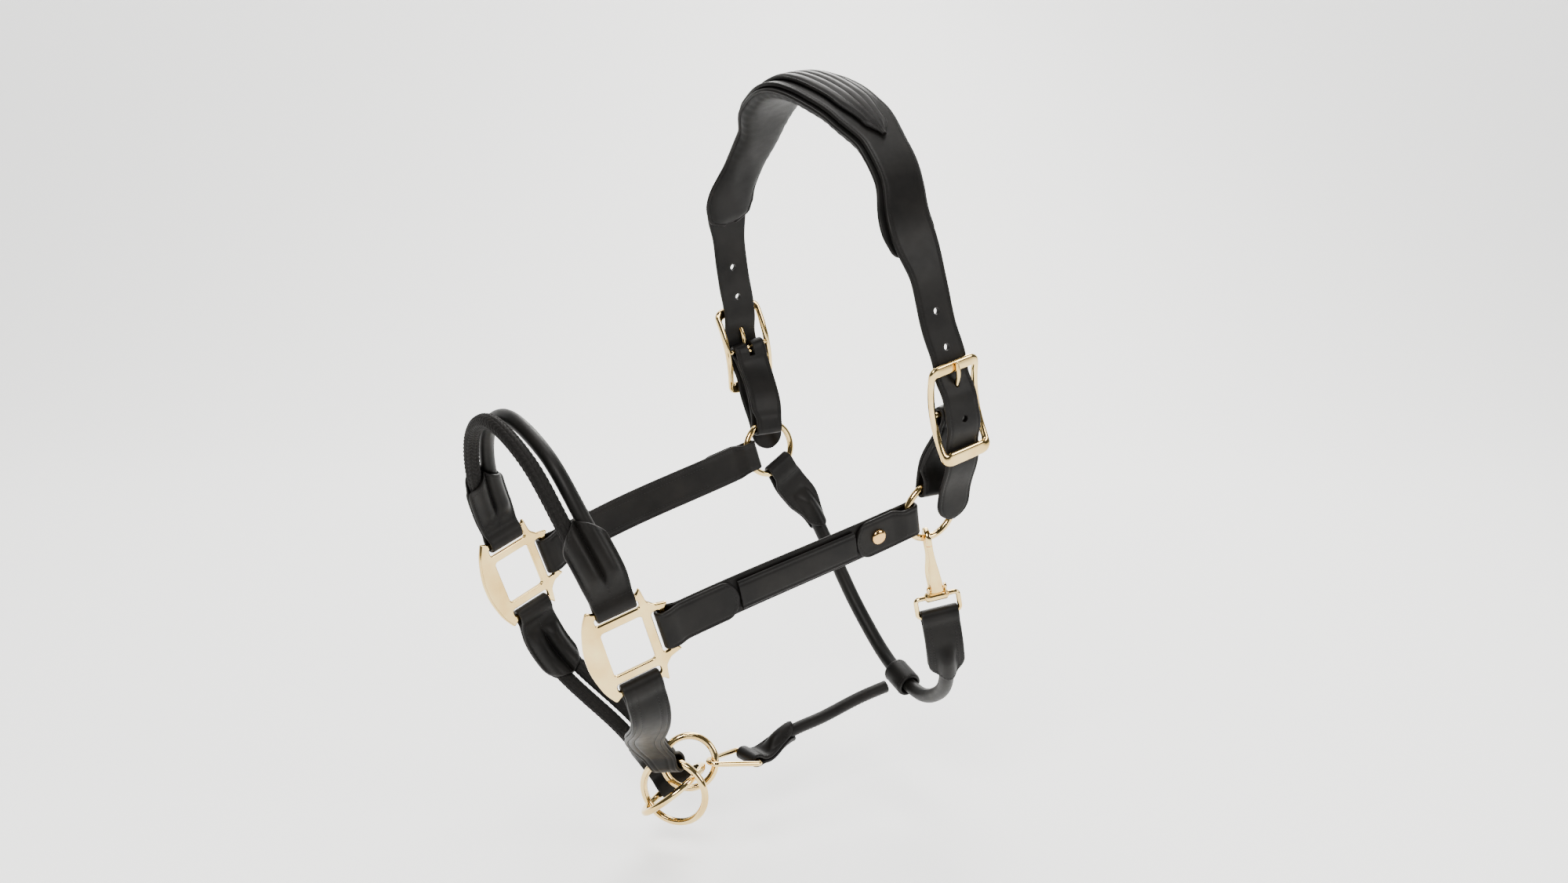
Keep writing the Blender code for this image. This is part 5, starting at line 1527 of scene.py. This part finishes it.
# ------------------------------------------------------------------ jowl
@dataclass
class Jowl:
    """Triangle link, jowl tab, jowl roll and the sleeve that it hangs from."""

    chin: Chin
    points: tuple = ((-20, 0, -432), (10, -1, -426), (45, -3, -417), (62, -5, -413.5))
    tab_length: float = 40 * MM
    radius: float = 4.6 * MM
    link_wire: float = 1.8 * MM
    link_width: float = 27 * MM
    sleeve_inner: float = 6.6 * MM
    sleeve_outer: float = 9.2 * MM
    sleeve_length: float = 20 * MM

    def build(self) -> None:
        """Link, tab and roll."""
        bar = self.chin.link_bar
        caught = self.chin.jowl_centre + self.chin.right * self.chin.jowl_radius
        ahead = (bar - caught).normalized()
        across = (Vector((0, 1, 0)) - ahead * ahead.y).normalized()
        half = across * self.link_width / 2
        bend = self.chin.wire + self.link_wire + 2 * GAP
        corner = [caught + (ahead * cos(t) + across * sin(t)) * bend
                  for t in (radians(d) for d in range(100, 261, 10))]
        ends = rounded([corner[-1], bar - half, bar + half, corner[0]], 3.5 * MM, 10)
        path = resampled(corner + ends[11:33], 1.5 * MM)
        link = rod("triangle_wire_link", path, self.link_wire, cyclic=True)
        place("triangle_wire_link", link, FINISHES.brass, "harness", "triangle_link")
        route = Route([bar, bar + ahead * 10 * MM] + [Vector(p) * MM for p in self.points], across=-across)
        tab = FoldedStrap(Route(sampled(route, 0, self.tab_length), across=-across),
                          Fold(self.link_wire + FOLD_PLAY, neck=6 * MM), None, tip=12 * MM,
                          widths=lambda s: (9.4 - 2.6 * ease((s / MM - 12) / 20)) * MM,
                          filling=Filling((0.0,), self.radius, 12 * MM, 26 * MM))
        place("jowl_front_holder", tab, FINISHES.leather, "harness", "jowl_front_tab")
        seam = RollTab(tab, self.tab_length, inset=1.3 * MM, inner_rows=()).seam()
        place("jowl_front_stitching", seam, FINISHES.thread, "harness")
        roll = sampled(route, self.tab_length * 0.75, route.length, 9 * MM)
        mesh, stitches = LeatherRoll(self.radius, Vector((0, 0, -1))).meshes("jowl_leather_roll", roll)
        place("jowl_leather_roll", mesh, FINISHES.leather, "harness", "jowl_roll")
        place("jowl_roll_stitching", stitches, FINISHES.thread, "harness")

    def sleeve(self, point: Vector, along: Vector) -> None:
        """The loop of leather that carries the jowl roll along the throat strap."""
        axes = along.to_track_quat("Z", "Y").to_matrix()
        middle = (self.sleeve_inner + self.sleeve_outer) / 2
        rings = []
        for k in range(56):
            turn = tau * k / 56
            away = axes @ Vector((cos(turn), sin(turn), 0))
            rings.append(cast_ring(point + away * middle, away, along,
                                   (self.sleeve_outer - self.sleeve_inner) / 2, self.sleeve_length / 2,
                                   5.0, 36))
        place("jowl_slide", skin("jowl_slide", rings, closed=True), FINISHES.leather, "harness", "jowl_sleeve")
        seam = Seam()
        for level in (-0.5, 0.5):
            line = []
            for k in range(73):
                away = axes @ Vector((cos(tau * k / 72), sin(tau * k / 72), 0))
                line.append((point + along * level * (self.sleeve_length - 4 * MM)
                             + away * (self.sleeve_outer - 0.03 * MM), away))
            seam.run(line)
        place("jowl_slide_stitching", seam, FINISHES.thread, "harness")


# ------------------------------------------------------------------ snap
@dataclass
class Snap:
    """Rectangular eye, cast hook, sprung gate and the gate's pin."""

    turn: float = radians(24)
    lean: float = radians(12.5)
    drop: float = 42 * MM
    hook_radius: float = 5.0 * MM
    hook_half: float = 1.9 * MM
    barrel_radius: float = 3.3 * MM
    barrel_length: float = 13 * MM
    ear_place: float = 5.6 * MM
    ear_half: float = 0.8 * MM
    gate_half: float = 4.3 * MM
    pin_radius: float = 0.9 * MM
    foot: tuple = (5.2 * MM, -34 * MM)
    eye_width: float = 28.5 * MM
    eye_height: float = 13 * MM
    eye_wire: float = 1.6 * MM

    def __post_init__(self) -> None:
        """Work out the snap's axes."""
        self.up = Vector((-sin(self.lean), 0, cos(self.lean)))
        right = Vector((cos(self.turn), -sin(self.turn), 0))
        self.right = (right - self.up * right.dot(self.up)).normalized()
        self.out = self.right.cross(self.up)
        self.wire_point = RING_CENTRE - RING_UP * RING_RADIUS
        self.eye_bar = self.wire_point - self.up * (self.drop + self.eye_height)

    def at(self, out: float, up: float, right: float = 0.0) -> Vector:
        """A point measured from the ring's wire that the hook hangs on."""
        return self.wire_point + self.out * out + self.up * up + self.right * right

    def build(self) -> None:
        """Eye, body, gate and pin."""
        a, b = self.eye_width / 2, self.eye_height / 2
        middle = -self.drop - b
        corners = [self.at(0, middle + v, u) for u, v in ((-a, -b), (a, -b), (a, b), (-a, b))]
        eye = rod("strap_eye", resampled(rounded(corners, 3 * MM, 8), 1.5 * MM), self.eye_wire, cyclic=True)
        place("strap_eye", eye, FINISHES.brass, "harness", "snap_eye")
        place("hook_casting", self.body(), FINISHES.brass, "snap", "snap_body")
        pivot = self.at(*self.foot)
        reach = self.ear_place + self.ear_half
        pin = [pivot + self.right * x for x in spread(-reach, reach, 2 * MM)]
        place("gate_pivot_pin", rod("gate_pivot_pin", pin, self.pin_radius), FINISHES.brass, "snap",
              "snap_gate_pin")
        place("sprung_gate", self.gate(), FINISHES.brass, "gate", "snap_gate")

    def body(self) -> bpy.types.Mesh:
        """The hook, its barrel and the ears that carry the gate's pin."""
        r = self.hook_radius
        bend = [Vector((r * cos(radians(d)), r * sin(radians(d)))) for d in range(180, -1, -30)]
        spine = smooth_run([Vector((1.0 * MM, -self.drop + 2.5 * MM)), Vector((-1.5 * MM, -self.drop + 9 * MM)),
                            Vector((-r, -14 * MM))] + bend + [Vector((r, -3.5 * MM))], 8)
        rings = []
        for i, point in enumerate(spine):
            before, after = spine[max(i - 1, 0)], spine[min(i + 1, len(spine) - 1)]
            along = (self.out * (after.x - before.x) + self.up * (after.y - before.y)).normalized()
            broad = self.hook_half + 2.6 * MM * ease((-point.y - 12 * MM) / (16 * MM)) * (point.x < r * 0.5)
            rings.append(cast_ring(self.at(point.x, point.y), self.right, self.right.cross(along), broad,
                                   self.hook_half * 0.9, 2.6))
        half = self.barrel_length / 2
        barrel = rod("barrel", [self.at(0, -self.drop, x) for x in spread(-half, half, 2 * MM)],
                     self.barrel_radius, sides=36)
        parts = [skin("hook", rings), barrel]
        lean = (self.out * self.foot[0] + self.up * (self.foot[1] + self.drop)).normalized()
        for side in (1, -1):
            low = self.at(0, -self.drop, side * self.ear_place)
            high = self.at(*self.foot, side * self.ear_place) + lean * 2 * MM
            ear = [cast_ring(low.lerp(high, t), self.right.cross(lean), self.right,
                             2.3 * MM * Tip.ROUND.share(0.25 + (1 - t) * 5), self.ear_half, 3)
                   for t in (0, 0.2, 0.4, 0.6, 0.75, 0.85, 0.92, 0.97, 1.0)]
            parts.append(skin("ear", ear))
        return join_meshes("hook_casting", parts)

    def gate(self) -> bpy.types.Mesh:
        """Broad at its pin, narrow where it meets the hook's tip."""
        head = (self.hook_radius, -3.5 * MM - 2 * GAP)
        along = (self.out * (head[0] - self.foot[0]) + self.up * (head[1] - self.foot[1])).normalized()
        rings = []
        for k in range(25):
            t = -0.08 + 1.08 * k / 24
            centre = self.at(self.foot[0] + (head[0] - self.foot[0]) * t,
                             self.foot[1] + (head[1] - self.foot[1]) * t)
            broad = self.gate_half - (self.gate_half - self.hook_half) * ease(max(t, 0) * 1.1)
            rings.append(cast_ring(centre, self.right, self.right.cross(along), broad,
                                   (2.2 - 0.7 * max(t, 0)) * MM, 2.4))
        return skin("sprung_gate", rings)


# ------------------------------------------------------------------ throat
@dataclass
class Throat:
    """The rolled throat strap, its tab on the far ring and its tab on the snap's eye."""

    snap: Snap
    slope: float = radians(60)
    points: tuple = ((54, 87, -297), (65, 72, -330), (73, 45, -372), (76, 5, -405), (74, -30, -413),
                     (66, -62, -398))
    radius: float = 5.4 * MM
    far_length: float = 58 * MM
    near_length: float = 50 * MM

    def __post_init__(self) -> None:
        """Run the middle line from the far ring to the snap's eye."""
        drop = Vector((cos(self.slope), RING_UP.y * sin(self.slope), -RING_UP.z * sin(self.slope)))
        seat = far_side(RING_CENTRE) + drop * RING_SEAT
        points = [seat, seat + drop * 16 * MM] + [Vector(p) * MM for p in self.points]
        self.route = Route(points + [self.snap.eye_bar - self.snap.up * 22 * MM, self.snap.eye_bar], self.out)

    def out(self, share: float) -> Vector:
        """Away from the head all the way round the throat."""
        turn = pi * ease(share)
        inner = Vector((0, cos(turn), -sin(turn)))
        if share < 0.2:
            inner = far_side(RING_OUT).lerp(inner, ease(share / 0.2))
        if share > 0.7:
            inner = inner.lerp(self.snap.out, ease((share - 0.7) / 0.3))
        return inner.normalized()

    def build(self) -> None:
        """Both tabs and the roll."""
        length = self.route.length
        far = FoldedStrap(Route(sampled(self.route, 0, self.far_length), self.out(0)),
                          Fold(RING_FOLD, RING_RUN, half_width=RING_STRAP_WIDTH / 2), None, tip=9 * MM,
                          widths=lambda s: (STRAP_WIDTH / 2 - 5 * MM * ease((s - 30 * MM) / (22 * MM))),
                          filling=Filling((0.0,), self.radius, 22 * MM, 38 * MM))
        place("throat_far_holder", far, FINISHES.leather, "harness", "throat_far_tab")
        seam = RollTab(far, self.far_length, inset=1.8 * MM, from_fold=11 * MM, inner_rows=()).seam()
        place("throat_far_stitching", seam, FINISHES.thread, "harness")
        back = [self.route.at(length - s)[0] for s in spread(0, self.near_length, 6 * MM)]
        near = FoldedStrap(Route(back, self.snap.out), Fold(self.snap.eye_wire + FOLD_PLAY, neck=6 * MM), None,
                           tip=13 * MM, filling=Filling((0.0,), self.radius, 20 * MM, 34 * MM))
        place("throat_snap_holder", near, FINISHES.leather, "harness", "throat_snap_tab")
        seam = RollTab(near, self.near_length, inner_rows=(8.0 * MM,)).seam()
        place("throat_snap_stitching", seam, FINISHES.thread, "harness")
        path = sampled(self.route, self.far_length * 0.66, length - self.near_length * 0.84, 11 * MM)
        mesh, stitches = LeatherRoll(self.radius, Vector((1, 0, 0.1))).meshes("throat_leather_roll", path)
        place("throat_leather_roll", mesh, FINISHES.leather, "harness", "throat_roll")
        place("throat_roll_stitching", stitches, FINISHES.thread, "harness")

    def nearest(self, goal: Vector) -> tuple[Vector, Vector]:
        """Point and direction where the strap passes a place."""
        s = min(spread(0, self.route.length, 2 * MM), key=lambda d: (self.route.at(d)[0] - goal).length)
        return self.route.at(s)[:2]


# ------------------------------------------------------------------ studio
@dataclass
class SoftLight:
    """One soft area light."""

    name: str
    place: tuple
    size: float
    power: float

    def build(self, target: Vector) -> None:
        """Hang the light, facing the target."""
        lamp = bpy.data.lights.new(self.name, "AREA")
        lamp.shape = "DISK"
        lamp.size = self.size
        lamp.energy = self.power
        lamp.color = (1.0, 0.985, 0.96)
        holder = bpy.data.objects.new(self.name, lamp)
        holder.location = self.place
        holder.rotation_euler = (target - holder.location).to_track_quat("-Z", "Y").to_euler()
        bpy.context.scene.collection.objects.link(holder)


@dataclass
class Studio:
    """Pale sweep, soft lights and the camera."""

    eye: tuple = (-0.5716, -0.8463, 0.0296)
    target: tuple = (-0.022, 0.0, -0.222)
    lens: float = 36.0
    floor_level: float = -0.4945
    lights: tuple = (SoftLight("key", (-1.3, -1.1, 1.1), 0.9, 52.0),
                     SoftLight("fill", (0.9, -1.5, 0.5), 0.9, 22.0),
                     SoftLight("top", (0.1, 0.3, 1.5), 1.2, 34.0),
                     SoftLight("rim", (0.9, 1.1, 0.7), 0.7, 24.0))

    def sweep(self) -> None:
        """A floor that curves up into a backdrop behind the headcollar."""
        away = (Vector(self.target) - Vector(self.eye)).to_2d().normalized()
        side = Vector((away.y, -away.x))
        profile = [(-2.5, 0.0), (0.9, 0.0)]
        profile += [(0.9 + 0.8 * sin(radians(d)), 0.8 - 0.8 * cos(radians(d))) for d in range(5, 91, 5)]
        profile += [(1.7, 3.5)]
        points, faces = [], []
        for along, height in profile:
            for across in (-4.0, 4.0):
                spot = away * along + side * across
                points.append((spot.x, spot.y, self.floor_level + height))
        for i in range(len(profile) - 1):
            faces.append((2 * i, 2 * i + 1, 2 * i + 3, 2 * i + 2))
        mesh = bpy.data.meshes.new("pale_sweep")
        mesh.from_pydata(points, [], faces)
        mesh.shade_smooth()
        paper = bpy.data.materials.new("pale_paper")
        paper.use_nodes = True
        shader = paper.node_tree.nodes["Principled BSDF"]
        shader.inputs["Base Color"].default_value = (0.86, 0.86, 0.85, 1)
        shader.inputs["Roughness"].default_value = 0.9
        shader.inputs["Emission Color"].default_value = (1.0, 1.0, 0.99, 1)
        shader.inputs["Emission Strength"].default_value = 0.85
        mesh.materials.append(paper)
        sweep = bpy.data.objects.new("pale_sweep", mesh)
        bpy.context.scene.collection.objects.link(sweep)

    def build(self) -> None:
        """Sweep, world, lights and camera."""
        self.sweep()
        world = bpy.data.worlds.new("soft_world")
        world.use_nodes = True
        world.node_tree.nodes["Background"].inputs["Color"].default_value = (0.95, 0.97, 1.0, 1)
        world.node_tree.nodes["Background"].inputs["Strength"].default_value = 0.10
        bpy.context.scene.world = world
        target = Vector(self.target)
        for light in self.lights:
            light.build(target)
        lens = bpy.data.cameras.new("camera")
        lens.lens = self.lens
        lens.sensor_width = 36.0
        camera = bpy.data.objects.new("camera", lens)
        camera.location = self.eye
        camera.rotation_euler = (target - camera.location).to_track_quat("-Z", "Y").to_euler()
        bpy.context.scene.collection.objects.link(camera)
        bpy.context.scene.camera = camera


def main() -> None:
    """Build every sub-assembly, then the studio, and note the sizes."""
    logging.basicConfig(level=logging.INFO, format="%(name)s: %(message)s")
    square = SquarePlate()
    square.build()
    place_pair("near_wire_ring", wire_ring("near_wire_ring", RING_CENTRE, RING_OUT, RING_RADIUS, RING_WIRE),
               FINISHES.brass, "near_ring", "near_upper_ring")
    Cheek(square).build()
    buckle = Buckle()
    buckle.build()
    Crown(buckle).build()
    Noseband(square).build()
    chin = Chin(square)
    chin.build()
    snap = Snap()
    snap.build()
    throat = Throat(snap)
    throat.build()
    jowl = Jowl(chin)
    jowl.build()
    jowl.sleeve(*throat.nearest(Vector(jowl.points[-1]) * MM))
    Studio().build()


if __name__ == "__main__":
    main()
